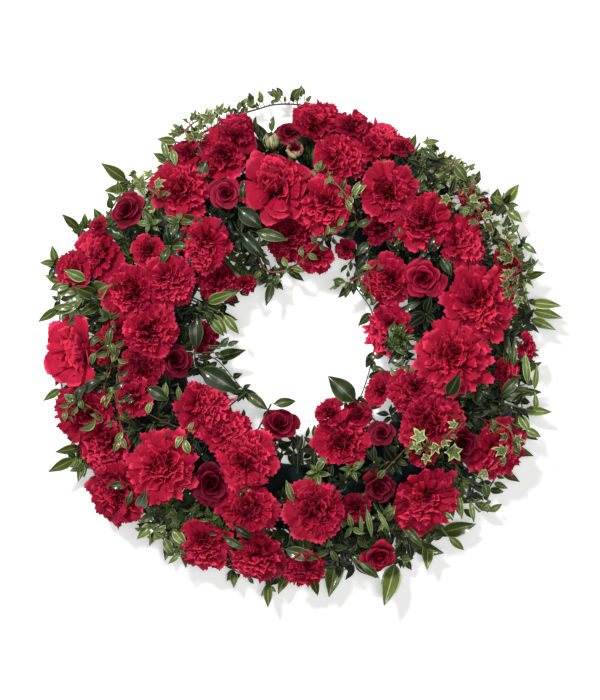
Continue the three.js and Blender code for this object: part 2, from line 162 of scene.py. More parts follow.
CARNATIONS = {
    "carnation_01": [(CARNATION, 180, 188, 66, 0, 0.6), (SMALL, 187, 152, 36, -1, 0.3)],
    "carnation_02": [(CARNATION, 98, 253, 56, 0, 0.5), (SMALL, 73, 270, 44, 0, 0.5)],
    "carnation_03": [(CARNATION, 206, 245, 56, 0, 0.5)],
    "carnation_04": [(CARNATION, 222, 155, 64, 0, 0.5)],
    "carnation_05": [(CARNATION, 238, 132, 54, -1, 0.35)],
    "carnation_06": [(CARNATION, 278, 186, 78, 1, 0.65)],
    "carnation_07": [(CARNATION, 325, 205, 60, 1, 0.7)],
    "carnation_08": [(CARNATION, 290, 238, 54, -1, 0.2), (SMALL, 317, 258, 42, 0, 0.6)],
    "carnation_09": [(CARNATION, 316, 122, 56, 0, 0.4), (SMALL, 351, 124, 38, 0, 0.35)],
    "carnation_10": [(CARNATION, 337, 158, 60, 0, 0.6)],
    "carnation_11": [(CARNATION, 378, 144, 56, 0, 0.45)],
    "carnation_12": [(CARNATION, 388, 190, 60, 0, 0.55), (SMALL, 379, 229, 36, -1, 0.1)],
    "carnation_13": [(CARNATION, 425, 222, 64, 0, 0.6)],
    "carnation_14": [(CARNATION, 461, 241, 52, 0, 0.6), (SMALL, 475, 205, 38, -1, 0.1)],
    "carnation_15": [(CARNATION, 387, 282, 56, 0, 0.55)],
    "carnation_16": [(CARNATION, 387, 328, 54, 0, 0.55)],
    "carnation_17": [(CARNATION, 480, 304, 82, 0, 0.7), (SMALL, 507, 262, 38, -1, 0.5)],
    "carnation_18": [(CARNATION, 454, 357, 80, 1, 0.75)],
    "carnation_19": [(CARNATION, 412, 390, 54, 0, 0.5), (SMALL, 381, 389, 40, 0, 0.6)],
    "carnation_20": [(CARNATION, 430, 420, 66, 0, 0.55), (SMALL, 422, 450, 38, -1, 0.3)],
    "carnation_21": [(CARNATION, 497, 450, 64, 0, 0.6)],
    "carnation_22": [(CARNATION, 425, 499, 76, 0, 0.7)],
    "carnation_23": [(CARNATION, 226, 431, 58, 0, 0.5), (CARNATION, 203, 406, 60, 0, 0.5)],
    "carnation_24": [(CARNATION, 247, 459, 64, 1, 0.75)],
    "carnation_25": [(CARNATION, 249, 509, 62, 0, 0.6)],
    "carnation_26": [(CARNATION, 203, 545, 60, 0, 0.55)],
    "carnation_27": [(CARNATION, 258, 558, 64, 0, 0.6)],
    "carnation_28": [(CARNATION, 304, 570, 50, 0, 0.5)],
    "carnation_29": [
        (CARNATION, 341, 442, 62, 0, 0.6),
        (SMALL, 330, 412, 36, 0, 0.45),
        (SMALL, 358, 414, 34, 0, 0.3),
    ],
    "carnation_30": [(CARNATION, 316, 510, 64, 0, 0.55)],
    "carnation_31": [(CARNATION, 82, 413, 70, -1, 0.45)],
    "carnation_32": [(CARNATION, 103, 444, 64, 0, 0.5)],
    "carnation_33": [(CARNATION, 118, 493, 70, 0, 0.5)],
    "carnation_34": [(CARNATION, 163, 467, 76, 1, 0.75)],
    "carnation_35": [(CARNATION, 130, 291, 60, 0, 0.55)],
    "carnation_36": [(CARNATION, 169, 280, 54, 0, 0.5), (SMALL, 148, 250, 38, 0, 0.6)],
    "carnation_37": [(CARNATION, 151, 331, 58, 0, 0.55), (SMALL, 119, 332, 38, -1, 0.3)],
    "carnation_38": [(CARNATION, 77, 350, 80, 0, 1.0)],
    "carnation_39": [(CARNATION, 141, 366, 48, -1, 0.2), (SMALL, 134, 397, 42, 0, 0.5)],
    "carnation_40": [(CARNATION, 222, 283, 52, -1, 0.25)],
}
# Small flowers that fill gaps between the others
FILL_FLOWERS = {
    "spray_carnation_01": [(SMALL, 507, 372, 37, 0, 0.6)],
    "spray_carnation_02": [(SMALL, 527, 348, 32, 0, 0.5)],
    "spray_carnation_03": [(SMALL, 101, 348, 38, -1, 0.4)],
    "spray_carnation_04": [(SMALL, 98, 226, 24, 0, 0.4)],
    "spray_carnation_05": [(SMALL, 246, 285, 26, -1, 0.4)],
    "spray_carnation_06": [(SMALL, 403, 146, 28, -1, 0.3)],
    "spray_carnation_07": [(SMALL, 345, 250, 24, -1, 0.4)],
    "rosebud_01": [(ROSE, 382, 433, 29, 0, 0.2)],
}

# Each leafy spray: how slender its leaves are, then each leaf's base pixel and tip pixel along the stem,
# and how slender that leaf is where it differs
SPRAYS = {
    "leaf_spray_upper_left": (0.36, [
        (178, 142, 157, 139), (170, 162, 153, 153), (132, 187, 104, 191), (128, 182, 101, 163),
        (102, 222, 94, 208), (80, 230, 62, 214), (80, 262, 70, 250), (57, 266, 52, 245),
    ]),
    "leaf_spray_left": (0.34, [
        (62, 283, 45, 275), (60, 308, 38, 322), (62, 388, 43, 401),
        (83, 447, 55, 452), (76, 458, 48, 472), (84, 462, 78, 482),
    ]),
    "leaf_spray_lower_left": (0.34, [
        (96, 474, 86, 492), (126, 500, 104, 494), (134, 500, 126, 516), (150, 512, 138, 531),
        (160, 524, 149, 546), (172, 532, 165, 561), (184, 540, 186, 568), (234, 570, 234, 588),
        (268, 582, 268, 608),
    ]),
    "leaf_spray_bottom": (0.4, [
        (288, 570, 278, 594), (312, 574, 318, 596), (338, 550, 329, 597), (352, 552, 376, 578),
        (396, 560, 384, 606), (410, 545, 444, 553), (428, 540, 427, 570), (437, 533, 476, 524),
    ]),
    "leaf_spray_lower_right": (0.34, [
        (474, 502, 496, 512), (500, 470, 520, 482), (512, 448, 534, 456), (518, 430, 538, 440),
        (522, 410, 552, 412), (520, 392, 542, 392), (520, 372, 542, 362),
    ]),
    "leaf_spray_right": (0.32, [
        (528, 318, 556, 330), (530, 310, 563, 318), (528, 302, 562, 306), (522, 278, 546, 272),
        (521, 242, 537, 254), (506, 209, 522, 222, 0.46), (504, 204, 519, 184, 0.48),
        (494, 206, 498, 188, 0.5), (474, 186, 480, 170), (456, 176, 462, 160), (436, 166, 446, 150),
        (410, 150, 416, 134),
    ]),
    "leaf_spray_inner_left": (0.34, [
        (286, 268, 304, 281), (273, 281, 266, 306), (261, 273, 252, 289), (228, 300, 240, 302),
        (213, 314, 238, 320), (198, 316, 197, 352), (196, 366, 240, 392), (214, 358, 246, 350),
        (240, 386, 266, 409),
    ]),
    "leaf_spray_inner_right": (0.36, [
        (354, 282, 338, 298), (372, 312, 358, 326), (374, 350, 366, 368), (358, 402, 328, 376),
        (338, 414, 320, 402),
    ]),
}
VINE = {
    "twining_vine": (0.5, [
        (194, 142, 186, 130), (212, 128, 207, 108), (228, 118, 224, 107), (244, 113, 254, 96),
        (258, 109, 262, 95), (272, 105, 280, 92), (288, 104, 300, 88), (304, 105, 310, 97),
    ]),
}

# Each tier of open petals, outermost first: petals, reach, how uneven their reach is, height, half spread,
# ruffle, waves and how arched each petal is
CARNATION_TIERS = (
    (7, 1.09, 0.15, -0.10, 0.74, 0.065, 1.7, 0.02),
    (6, 0.96, 0.2, 0.05, 0.76, 0.09, 2.1, 0.03),
    (7, 0.76, 0.24, 0.19, 0.64, 0.12, 2.4, 0.02),
)
SMALL_TIERS = (
    (5, 1.06, 0.12, -0.06, 0.82, 0.06, 1.6, 0.02),
    (6, 0.8, 0.14, 0.14, 0.68, 0.10, 2.0, 0.02),
)
WIDE_TIERS = (
    (6, 1.08, 0.08, -0.08, 0.68, 0.02, 1.1, 0.12),
    (5, 0.96, 0.12, 0.08, 0.72, 0.03, 1.2, 0.13),
    (6, 0.72, 0.2, 0.22, 0.6, 0.07, 1.6, 0.08),
)
RAYED_TIERS = (
    (12, 1.08, 0.13, -0.08, 0.37, 0.05, 0.9, 0.09),
    (12, 0.98, 0.15, 0.04, 0.35, 0.06, 1.0, 0.09),
    (10, 0.82, 0.17, 0.15, 0.39, 0.07, 1.2, 0.07),
    (8, 0.64, 0.18, 0.26, 0.44, 0.08, 1.5, 0.05),
)
# The bright rim is partly the petals' own paler edge and partly a painted highlight.
RIM_REACH = 0.95  # open petals show less of the bright rim than crumpled ones
MANY = 8  # a tier of this many petals or more has narrow ones

# How deep the teeth of arched petals are, beside those of the others
WIDE_TOOTH = 0.3
RAYED_TOOTH = 0.8

# Carnations with wide open petals, and with narrow petals like rays; and roses with more ruffled petals
WIDE_OPEN = ("carnation_06", "carnation_38")
RAYED = ("carnation_17", "carnation_18", "carnation_22", "carnation_34")
RUFFLED = ("rose_02", "rose_03", "rose_05", "rose_09")
RUFFLED_WAVE = 0.07  # the waves of those roses' petals, in radii
ROSE_WAVE = 0.03

# How far out the crumpled heart reaches, in radii: on most carnations, on wide open and rayed ones, on those
# that differ, and in an opening bud
HEART = 0.64
OPEN_HEART = 0.46
HEARTS = {"carnation_38": 0.32, "carnation_22": 0.4}
BUD_HEART = 0.78

# How many petals the crumpled heart of each kind has, and how many a rose and a bud have
HEART_PETALS = {CARNATION: 30, SMALL: 11, BUD: 14}
ROSE_PETALS = 17
BUD_PETALS = 6

# Columns and rows of points in a petal
WIDE_GRID = (21, 7)
RAYED_GRID = (13, 7)
CRUMPLED_GRID = (17, 6)
SMALL_GRID = (15, 5)
SMALL_HEART_GRID = (12, 5)
BUD_HEART_GRID = (11, 5)
ROSE_GRID = (15, 9)
BUD_GRID = (9, 8)

# Where a head's crumpled heart sits off its middle, across and up the front view in radii
OFF_CENTRE = {
    "carnation_01": (0.22, -0.05),
    "carnation_06": (0.0, 0.24),
    "carnation_17": (-0.1, -0.2),
    "carnation_22": (-0.3, 0.0),
    "carnation_24": (0.05, 0.16),
    "carnation_25": (0.05, 0.15),
    "carnation_29": (0.12, -0.1),
    "carnation_30": (0.0, 0.18),
    "carnation_34": (0.18, 0.1),
    "carnation_38": (0.42, 0.05),
}

# Trails of ivy over the flowers: the stem's pixels, then each leaf's middle, size, direction and how pale
# it is
IVY = {
    "ivy_left": (
        [(190, 431), (165, 426), (135, 424), (116, 418), (102, 414), (88, 406), (78, 400), (66, 410)],
        [
            (150, 408, 17, 70, 0.9), (158, 414, 14, 20, 0.8), (166, 417, 12, 10, 0.9),
            (191, 427, 13, 60, 0.8), (180, 442, 17, 240, 1.0), (187, 446, 20, -75, 1.0),
            (193, 442, 14, -40, 0.9), (186, 436, 15, 200, 0.8), (119, 436, 16, 230, 0.9),
            (124, 442, 17, -70, 0.9), (116, 446, 15, 250, 0.7), (122, 416, 14, 150, 0.7),
            (130, 419, 13, 20, 0.7), (88, 424, 24, 215, 0.7), (108, 402, 24, 60, 0.8),
            (112, 392, 18, 20, 0.7), (92, 388, 30, 38, 0.0), (82, 394, 24, 60, 0.1),
            (70, 398, 15, 150, 0.5), (64, 404, 14, 200, 0.6), (74, 410, 15, 230, 0.4),
            (66, 416, 14, 260, 0.7), (82, 404, 14, 100, 0.5), (118, 380, 17, 100, 0.7),
        ],
    ),
    "ivy_left_upper": (
        [(120, 402), (112, 396), (104, 388), (110, 372), (112, 356), (106, 342)],
        [
            (118, 386, 16, 40, 0.1), (98, 388, 18, 170, 0.0), (122, 372, 16, 20, 0.2),
            (100, 376, 18, 190, 0.1), (116, 356, 20, 60, 0.9), (112, 348, 17, 110, 0.5),
            (102, 354, 16, 200, 0.4), (110, 336, 20, 80, 0.3), (96, 342, 17, 220, 0.3),
            (94, 358, 17, 250, 0.5), (122, 360, 14, -20, 0.8), (118, 344, 15, 30, 0.3),
        ],
    ),
    "ivy_right_lower": (
        [(478, 404), (466, 412), (461, 425), (449, 433), (440, 446), (426, 452)],
        [
            (466, 402, 12, 80, 0.8), (418, 434, 19, 120, 1.0), (415, 447, 14, 200, 0.9),
            (456, 455, 22, -50, 1.0), (434, 450, 15, -120, 0.7), (426, 460, 13, -100, 0.7),
            (446, 442, 12, 30, 0.8), (472, 424, 13, -20, 0.6), (452, 424, 12, 150, 0.7),
            (440, 458, 12, -90, 0.6),
        ],
    ),
    "ivy_right_edge": (
        [(486, 420), (500, 424), (511, 432), (514, 446), (504, 456)],
        [
            (499, 450, 18, 160, 0.5), (504, 462, 13, -80, 0.6), (516, 424, 12, 40, 0.6),
            (494, 432, 12, 200, 0.8), (520, 440, 13, -10, 0.5), (482, 474, 13, 200, 0.6),
        ],
    ),
    "ivy_upper_right": (
        [(432, 168), (446, 178), (458, 188), (470, 200), (480, 214), (492, 232), (504, 240)],
        [
            (436, 158, 18, 100, 0.6), (447, 165, 16, 60, 0.8), (440, 180, 17, 220, 0.7),
            (458, 176, 16, 40, 0.6), (450, 192, 16, 230, 0.4), (466, 188, 14, 30, 0.7),
            (476, 198, 14, 20, 0.8), (468, 212, 13, 220, 0.7), (488, 214, 14, 30, 0.8),
            (486, 230, 16, 200, 0.6), (498, 222, 13, 40, 0.6), (444, 200, 14, 210, 0.5),
        ],
    ),
    "ivy_upper_right_edge": (
        [(420, 160), (430, 156), (442, 160), (454, 168), (464, 178), (474, 188)],
        [
            (434, 146, 14, 80, 0.7), (424, 150, 13, 140, 0.5), (450, 158, 15, 60, 0.6),
            (460, 166, 13, 20, 0.8), (442, 172, 14, 220, 0.7), (472, 178, 13, 40, 0.7),
            (452, 182, 13, 250, 0.6),
        ],
    ),
    "ivy_right": (
        [(504, 240), (512, 252), (520, 264), (521, 280), (514, 292)],
        [
            (510, 243, 18, 40, 0.5), (505, 258, 18, 180, 0.3), (531, 264, 24, 10, 0.4),
            (527, 281, 22, -20, 0.4), (524, 296, 18, -60, 0.5), (506, 274, 13, 200, 0.3),
            (518, 302, 14, -100, 0.3),
        ],
    ),
    "ivy_upper_left": (
        [(160, 196), (150, 190), (141, 184), (134, 176)],
        [
            (137, 180, 26, 130, 0.9), (150, 172, 13, 70, 0.9), (152, 206, 20, -80, 0.8),
            (146, 216, 16, -100, 0.8), (160, 182, 13, 30, 0.5),
        ],
    ),
    "ivy_top": (
        [(196, 142), (186, 134), (192, 124), (206, 117)],
        [
            (178, 128, 17, 130, 0.2), (195, 134, 16, 40, 0.7), (206, 117, 21, 160, 0.5),
            (221, 108, 15, 60, 0.5), (188, 138, 13, 200, 0.3), (172, 134, 14, 190, 0.5),
        ],
    ),
    "ivy_middle_top": (
        [(352, 236), (356, 218), (352, 204), (342, 190), (330, 178)],
        [
            (322, 174, 16, 200, 0.6), (332, 180, 13, 120, 0.7), (348, 206, 16, 110, 0.8),
            (358, 210, 16, 40, 0.7), (364, 224, 18, 20, 0.3), (354, 228, 14, 250, 0.3),
        ],
    ),
    "ivy_hole_right": (
        [(372, 268), (360, 276), (350, 282), (342, 288)],
        [
            (340, 281, 17, 170, 0.3), (346, 292, 15, -100, 0.2), (358, 270, 13, 100, 0.2),
            (364, 288, 13, -60, 0.4), (372, 300, 14, -80, 0.4),
        ],
    ),
    "ivy_hole_top": (
        [(264, 268), (278, 272), (292, 267), (304, 259), (316, 246), (328, 237), (342, 229)],
        [
            (276, 279, 15, 250, 0.6), (286, 262, 15, 120, 0.8), (298, 270, 16, -20, 0.7),
            (302, 252, 14, 100, 0.7), (312, 256, 14, -30, 0.8), (314, 240, 13, 130, 0.7),
            (324, 246, 13, -40, 0.6), (326, 230, 14, 80, 0.8), (336, 240, 13, -60, 0.5),
            (340, 222, 14, 60, 0.6), (266, 262, 15, 140, 0.5), (258, 274, 14, 220, 0.4),
        ],
    ),
    "ivy_bottom": (
        [(376, 470), (388, 462), (398, 456), (406, 448)],
        [
            (392, 452, 18, 100, 0.5), (402, 462, 16, -30, 0.4), (382, 474, 16, 230, 0.4),
            (410, 446, 13, 60, 0.7), (390, 470, 14, -60, 0.3), (378, 458, 15, 160, 0.5),
        ],
    ),
}

# How many small new leaves stand at each point of a trail, where it isn't two
YOUNG_LEAVES = {
    "ivy_upper_right": 9,
    "ivy_upper_right_edge": 9,
    "ivy_right": 6,
    "ivy_top": 4,
    "ivy_left": 3,
    "ivy_left_upper": 4,
}

# The share of a trail's small leaves that are narrow, where it isn't half
NARROW_LEAVES = {
    "ivy_left": 0.95,
    "ivy_left_upper": 0.8,
    "ivy_bottom": 0.8,
    "ivy_hole_right": 0.9,
    "ivy_hole_top": 1.0,
    "ivy_middle_top": 0.9,
    "ivy_upper_right_edge": 0.65,
    "ivy_upper_right": 0.6,
    "ivy_right": 0.4,
    "ivy_top": 0.4,
}

ALL_NARROW = 0.7  # above this share a trail's large leaves are narrow too

# Where leafy branches show past the outermost flowers: from and to degrees round the ring from its right,
# how many, how far out in pixels their stems reach, and how high at most in millimetres
EDGE_ARCS = (
    (-42, 10, 20, 236, 62), (10, 52, 10, 230, 34), (52, 66, 4, 224, 34), (110, 134, 6, 222, 58),
    (134, 168, 10, 234, 60), (164, 178, 5, 216, 52), (198, 212, 3, 232, 50), (226, 252, 13, 232, 62),
    (252, 300, 11, 224, 58), (300, 318, 8, 226, 58),
)

# The same for the branches that show in the hole
INNER_ARCS = (
    (0, 20, 1, 88, 50), (62, 135, 8, 92, 50), (140, 168, 3, 90, 50), (226, 262, 4, 90, 50),
    (262, 320, 7, 88, 50), (335, 345, 1, 92, 50),
)

# Whorls of narrow leaves: pixel across and down, leaf length in pixels, leaves, how pale and how far lifted
WHORLS = (
    (316, 472, 17, 9, 0.5, 0.3), (351, 469, 14, 8, 0.35, 0.3), (396, 378, 12, 6, 0.6, 0.3),
    (110, 318, 14, 6, 0.3, 0.3), (178, 222, 19, 7, 0.2, 0.3), (170, 246, 20, 7, 0.05, 0.3),
    (190, 250, 17, 6, 0.0, 0.3), (150, 224, 15, 6, 0.5, 0.3), (258, 250, 17, 7, 0.0, 0.3),
    (244, 236, 16, 5, 0.0, 0.3), (344, 228, 15, 7, 0.3, 0.3), (428, 252, 17, 6, 0.1, 0.3),
    (402, 238, 14, 6, 0.1, 0.3), (436, 188, 14, 6, 0.5, 0.3), (160, 516, 17, 7, 0.3, 0.3),
    (176, 552, 16, 7, 0.2, 0.3), (220, 530, 16, 6, 0.2, 0.3), (190, 512, 15, 6, 0.2, 0.3),
    (330, 548, 18, 7, 0.3, 0.3), (352, 528, 16, 7, 0.35, 0.3), (384, 520, 17, 6, 0.4, 0.3),
    (460, 480, 17, 7, 0.3, 0.3), (500, 410, 18, 7, 0.2, 0.3), (480, 390, 18, 7, 0.1, 0.3),
    (92, 300, 15, 7, 0.3, 0.3), (76, 310, 14, 7, 0.4, 0.3), (96, 290, 14, 6, 0.2, 0.3),
    (240, 488, 13, 5, 0.2, 0.3), (204, 312, 16, 5, 0.2, 0.3), (398, 366, 13, 11, 0.6, 0.8),
    (410, 374, 12, 7, 0.5, 0.6), (148, 528, 16, 8, 0.5, 0.2), (166, 538, 17, 8, 0.5, 0.2),
    (172, 512, 15, 7, 0.35, 0.2), (186, 524, 15, 7, 0.4, 0.1), (210, 518, 13, 6, 0.3, 0.2),
    (152, 508, 14, 7, 0.4, 0.3), (352, 195, 16, 8, 0.9, 0.8), (317, 171, 14, 7, 0.8, 1.4),
    (381, 160, 12, 5, 0.6, 0.8),
)

# Tight rosettes of curled leaves, with the same values as a whorl
ROSETTES = ((402, 340, 18, 30, 0.25, 1.8),)

# Single leaves among the flowers: base pixel, tip pixel, how slender, how pale and how far lifted
ON_TOP = 0.8  # a leaf lifted this far or more lies on the flowers
SINGLE_LEAVES = (
    (236, 206, 262, 228, 0.5, 0.05, 0.1), (252, 231, 288, 240, 0.32, 0.35, 0.1),
    (200, 182, 206, 160, 0.5, 0.1, 0), (243, 202, 244, 180, 0.42, 0.05, 0.6),
    (238, 230, 266, 260, 0.32, 0.0, -0.3), (196, 366, 240, 392, 0.42, 0.05, 0.2),
    (197, 314, 196, 350, 0.4, 0.05, 0.3), (246, 392, 268, 410, 0.38, 0.3, 0),
    (271, 404, 296, 401, 0.4, 0.3, -1.6), (358, 404, 328, 376, 0.5, 0.1, 0),
    (447, 397, 460, 373, 0.42, 0.05, 1.4), (498, 397, 531, 391, 0.42, 0.35, 0.8),
    (484, 408, 470, 386, 0.42, 0.1, 0), (520, 376, 500, 396, 0.4, 0.2, 0.2),
    (294, 504, 286, 480, 0.3, 0.5, 0.2), (296, 516, 316, 506, 0.34, 0.2, 0.2),
    (228, 520, 252, 532, 0.34, 0.15, 0.2), (282, 548, 318, 559, 0.36, 0.3, 0.8),
    (300, 492, 344, 496, 0.3, 0.1, 0.6), (168, 160, 162, 140, 0.34, 0.8, 0),
    (172, 148, 176, 166, 0.4, 0.9, 0.2), (146, 386, 168, 400, 0.5, 0.1, 0.2),
    (166, 380, 164, 404, 0.3, 0.5, -0.2), (178, 384, 180, 402, 0.3, 0.5, -0.2),
    (370, 240, 356, 256, 0.4, 0.1, 0), (330, 240, 312, 232, 0.25, 0.7, 0.2),
    (440, 256, 452, 276, 0.4, 0.1, 0.2), (402, 310, 420, 302, 0.35, 0.2, 0.3),
    (216, 300, 238, 290, 0.4, 0.2, 0), (150, 196, 140, 206, 0.5, 0.3, 0.2),
    (404, 346, 388, 364, 0.4, 0.1, 0.3), (414, 340, 430, 348, 0.4, 0.15, 0.3),
    (90, 380, 70, 388, 0.4, 0.3, 0.3), (108, 486, 130, 484, 0.36, 0.2, 0.8),
    (126, 506, 132, 490, 0.4, 0.15, 0.8), (140, 508, 146, 490, 0.36, 0.2, 0.8),
    (156, 521, 137, 539, 0.44, 0.9, 0), (170, 523, 153, 541, 0.42, 1.1, 0),
    (171, 527, 187, 546, 0.42, 0.9, 0), (163, 536, 174, 557, 0.4, 0.6, -0.3),
    (183, 551, 168, 564, 0.3, 0.8, -0.3), (154, 514, 139, 527, 0.45, 0.5, -0.3),
    (178, 519, 165, 505, 0.44, 0.7, 0), (505, 370, 508, 332, 0.18, 0.2, 0.4),
    (512, 372, 515, 336, 0.18, 0.3, 0.4), (528, 388, 524, 350, 0.2, 0.9, 0.2),
    (534, 392, 537, 364, 0.22, 0.8, 0), (536, 412, 535, 392, 0.3, 0.7, 0),
    (519, 456, 516, 436, 0.3, 0.8, 0.2), (518, 413, 530, 432, 0.45, 0.9, 0.2),
    (524, 428, 541, 437, 0.45, 0.8, 0), (484, 481, 488, 498, 0.5, 0.3, 0.2),
    (480, 512, 491, 500, 0.45, 0.4, 0), (488, 512, 502, 504, 0.45, 0.5, 0),
    (458, 490, 462, 520, 0.22, 0.8, 0), (470, 498, 474, 523, 0.24, 0.8, 0),
    (453, 520, 437, 510, 0.4, 0.9, 0), (447, 535, 464, 550, 0.36, 0.6, -0.4),
    (401, 522, 424, 548, 0.26, 0.3, 0), (88, 281, 64, 270, 0.42, 0.7, 0.8),
    (97, 296, 72, 286, 0.36, 0.4, 0.8), (98, 305, 78, 316, 0.36, 0.3, 0.8),
    (181, 226, 203, 219, 0.38, 0.2, 0.8), (205, 303, 236, 292, 0.3, 0.6, 0.8),
    (213, 312, 227, 334, 0.32, 0.6, 0.8), (220, 348, 229, 337, 0.5, 0.2, -0.3),
    (226, 346, 239, 341, 0.4, 0.2, -0.3), (214, 352, 224, 358, 0.4, 0.2, -0.3),
    (222, 536, 245, 549, 0.3, 0.2, 0.8), (232, 524, 253, 538, 0.3, 0.0, 0.8),
    (366, 505, 372, 538, 0.16, 0.7, 0.3), (376, 508, 390, 532, 0.16, 0.8, 0.3),
    (384, 512, 396, 506, 0.2, 0.6, 0.3), (360, 512, 362, 536, 0.16, 0.6, 0.2),
    (222, 313, 239, 334, 0.36, 0.8, 0), (208, 316, 224, 336, 0.36, 0.6, -0.4),
    (350, 552, 379, 578, 0.34, 0.25, -1.4), (92, 294, 64, 298, 0.3, 0.5, 0.5),
    (84, 300, 56, 315, 0.3, 0.6, 0.0), (80, 290, 57, 294, 0.34, 0.6, 0.0),
    (76, 306, 52, 308, 0.3, 0.5, -0.5), (72, 284, 50, 290, 0.34, 0.6, -0.3),
    (112, 284, 98, 292, 0.4, 0.7, 0.8), (90, 310, 66, 326, 0.34, 0.2, -0.3),
    (100, 300, 84, 296, 0.36, 0.1, 0.4), (453, 163, 467, 181, 0.5, 0.5, 0.0),
    (422, 148, 438, 160, 0.42, 0.2, 0.2), (420, 143, 440, 141, 0.3, 0.8, 0.0),
    (430, 150, 427, 136, 0.4, 0.6, 0.0),
)
LEAF_STAND = 20  # leaves on their own stems stand as a small flower of this many millimetres would

# Branches of leaves past the flowers, in the hole and low round the outside: how many leaves each has, how
# long they are beside the fill leaves, and how pale
OUTER_BRANCH = (7, 0.85, 0.36)
HOLE_BRANCH = (6, 0.7, 0.2)
LOW_BRANCH = (7, 1.2, 0.0)
LOW_BRANCHES = 84

# How many pieces each group of leaves is made in, round the ring
FILL_PIECES = 6
OUTER_PIECES = 6
LOW_PIECES = 4

# Places where the foam shows bare: pixel across and down, and how wide in pixels
BARE = (
    (290, 474, 22), (281, 523, 13), (232, 471, 9), (141, 192, 8), (166, 412, 15), (162, 441, 11),
    (262, 240, 8), (300, 226, 6), (446, 400, 7), (450, 172, 22), (474, 196, 10), (496, 222, 12),
)

# The search for gaps between the flowers, in pixels: its step, the band that it covers from the ring's
# middle, and how far apart the sprigs are that fill them
GAP_STEP = 4
GAP_BAND = (100, 224)
SPRIG_STEP = 7

# Where each group's random numbers start
VINE_SEED = 7
SPRAY_SEED = 40
FILL_SEED = 5
AMONG_SEED = 31
IVY_SEED = 70
EDGE_SEED = 12
FOAM_SEED = 3


# Vectors and curves

def unit(vector):
    return vector / np.linalg.norm(vector)


def aside_of(axis):
    """A direction square to an axis."""
    other = UP if abs(axis[2]) < 0.9 else np.array([1.0, 0.0, 0.0])
    return unit(np.cross(axis, other))


def smooth(points, steps):
    """A smooth curve through points, with a number of steps between each pair."""
    points = np.asarray(points, dtype=float)
    ends = [2 * points[0] - points[1], *points, 2 * points[-1] - points[-2]]
    path = []
    for before, start, end, after in zip(ends, ends[1:], ends[2:], ends[3:]):
        for t in np.linspace(0, 1, steps, endpoint=False):
            bend = 2 * start + (end - before) * t
            bend = bend + (2 * before - 5 * start + 4 * end - after) * t**2
            bend = bend + (3 * start - before - 3 * end + after) * t**3
            path.append(bend / 2)
    path.append(points[-1])
    return np.array(path)


def spot(across, down, height):
    """The point at a height that shows at a pixel of the front view."""
    spread = PIXEL * (EYE_HEIGHT - height) / (EYE_HEIGHT - FACE_HEIGHT)
    return np.array([(across - MIDDLE_X) * spread, (MIDDLE_Y - down) * spread, height])


# Meshes

class Heap:
    """Gathers the sheets and tubes of one piece into one mesh."""

    def __init__(self):
        self.points = []
        self.faces = []
        self.slots = []
        self.places = []
        self.tints = []
        self.vein_and_shade_masks = []
        self.count = 0

    def add(self, points, faces, slot, places, tint, vein_and_shade_mask=0.0):
        points = np.asarray(points, dtype=float).reshape(-1, 3)
        total = len(points)
        self.points.append(points)
        self.faces.extend((np.asarray(faces) + self.count).tolist())
        self.slots.extend([slot] * len(faces))
        self.places.append(np.broadcast_to(np.asarray(places, dtype=float), (total, 2)))
        self.tints.append(np.broadcast_to(np.asarray(tint, dtype=float), total))
        self.vein_and_shade_masks.append(np.broadcast_to(np.asarray(vein_and_shade_mask, dtype=float), total))
        self.count += total

    def make(self, name, materials):
        """Makes the piece, which rides on the wreath."""
        mesh = bpy.data.meshes.new(name)
        points = np.concatenate(self.points) + RING_MIDDLE
        mesh.from_pydata(points.tolist(), [], self.faces)
        for material in materials:
            mesh.materials.append(material)
        mesh.polygons.foreach_set("material_index", np.array(self.slots, dtype=np.int32))
        mesh.polygons.foreach_set("use_smooth", np.ones(len(self.faces), dtype=bool))
        corners = np.empty(len(mesh.loops), dtype=np.int32)
        mesh.loops.foreach_get("vertex_index", corners)
        layer = mesh.uv_layers.new(name="Place")
        layer.data.foreach_set("uv", np.concatenate(self.places)[corners].ravel().astype(np.float32))
        # The vein attribute carries the veins of leaves and, on petals, the depth mask for the painted shade
        # low between them.
        for label, values in (("tint", self.tints), ("vein_and_shade_mask", self.vein_and_shade_masks)):
            attribute = mesh.attributes.new(label, "FLOAT", "POINT")
            attribute.data.foreach_set("value", np.concatenate(values).astype(np.float32))
        mesh.validate()
        mesh.update()
        piece = bpy.data.objects.new(name, mesh)
        bpy.context.scene.collection.objects.link(piece)
        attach(piece, "root")
        return piece


def grid_faces(sheets, rows, columns):
    """The quads of a number of sheets, each of rows by columns points."""
    row, column = np.meshgrid(np.arange(rows - 1), np.arange(columns - 1), indexing="ij")
    corner = (row * columns + column).ravel()
    quads = np.stack([corner, corner + 1, corner + columns + 1, corner + columns], axis=1)
    starts = np.arange(sheets)[:, None, None] * rows * columns
    return (quads[None] + starts).reshape(-1, 4)


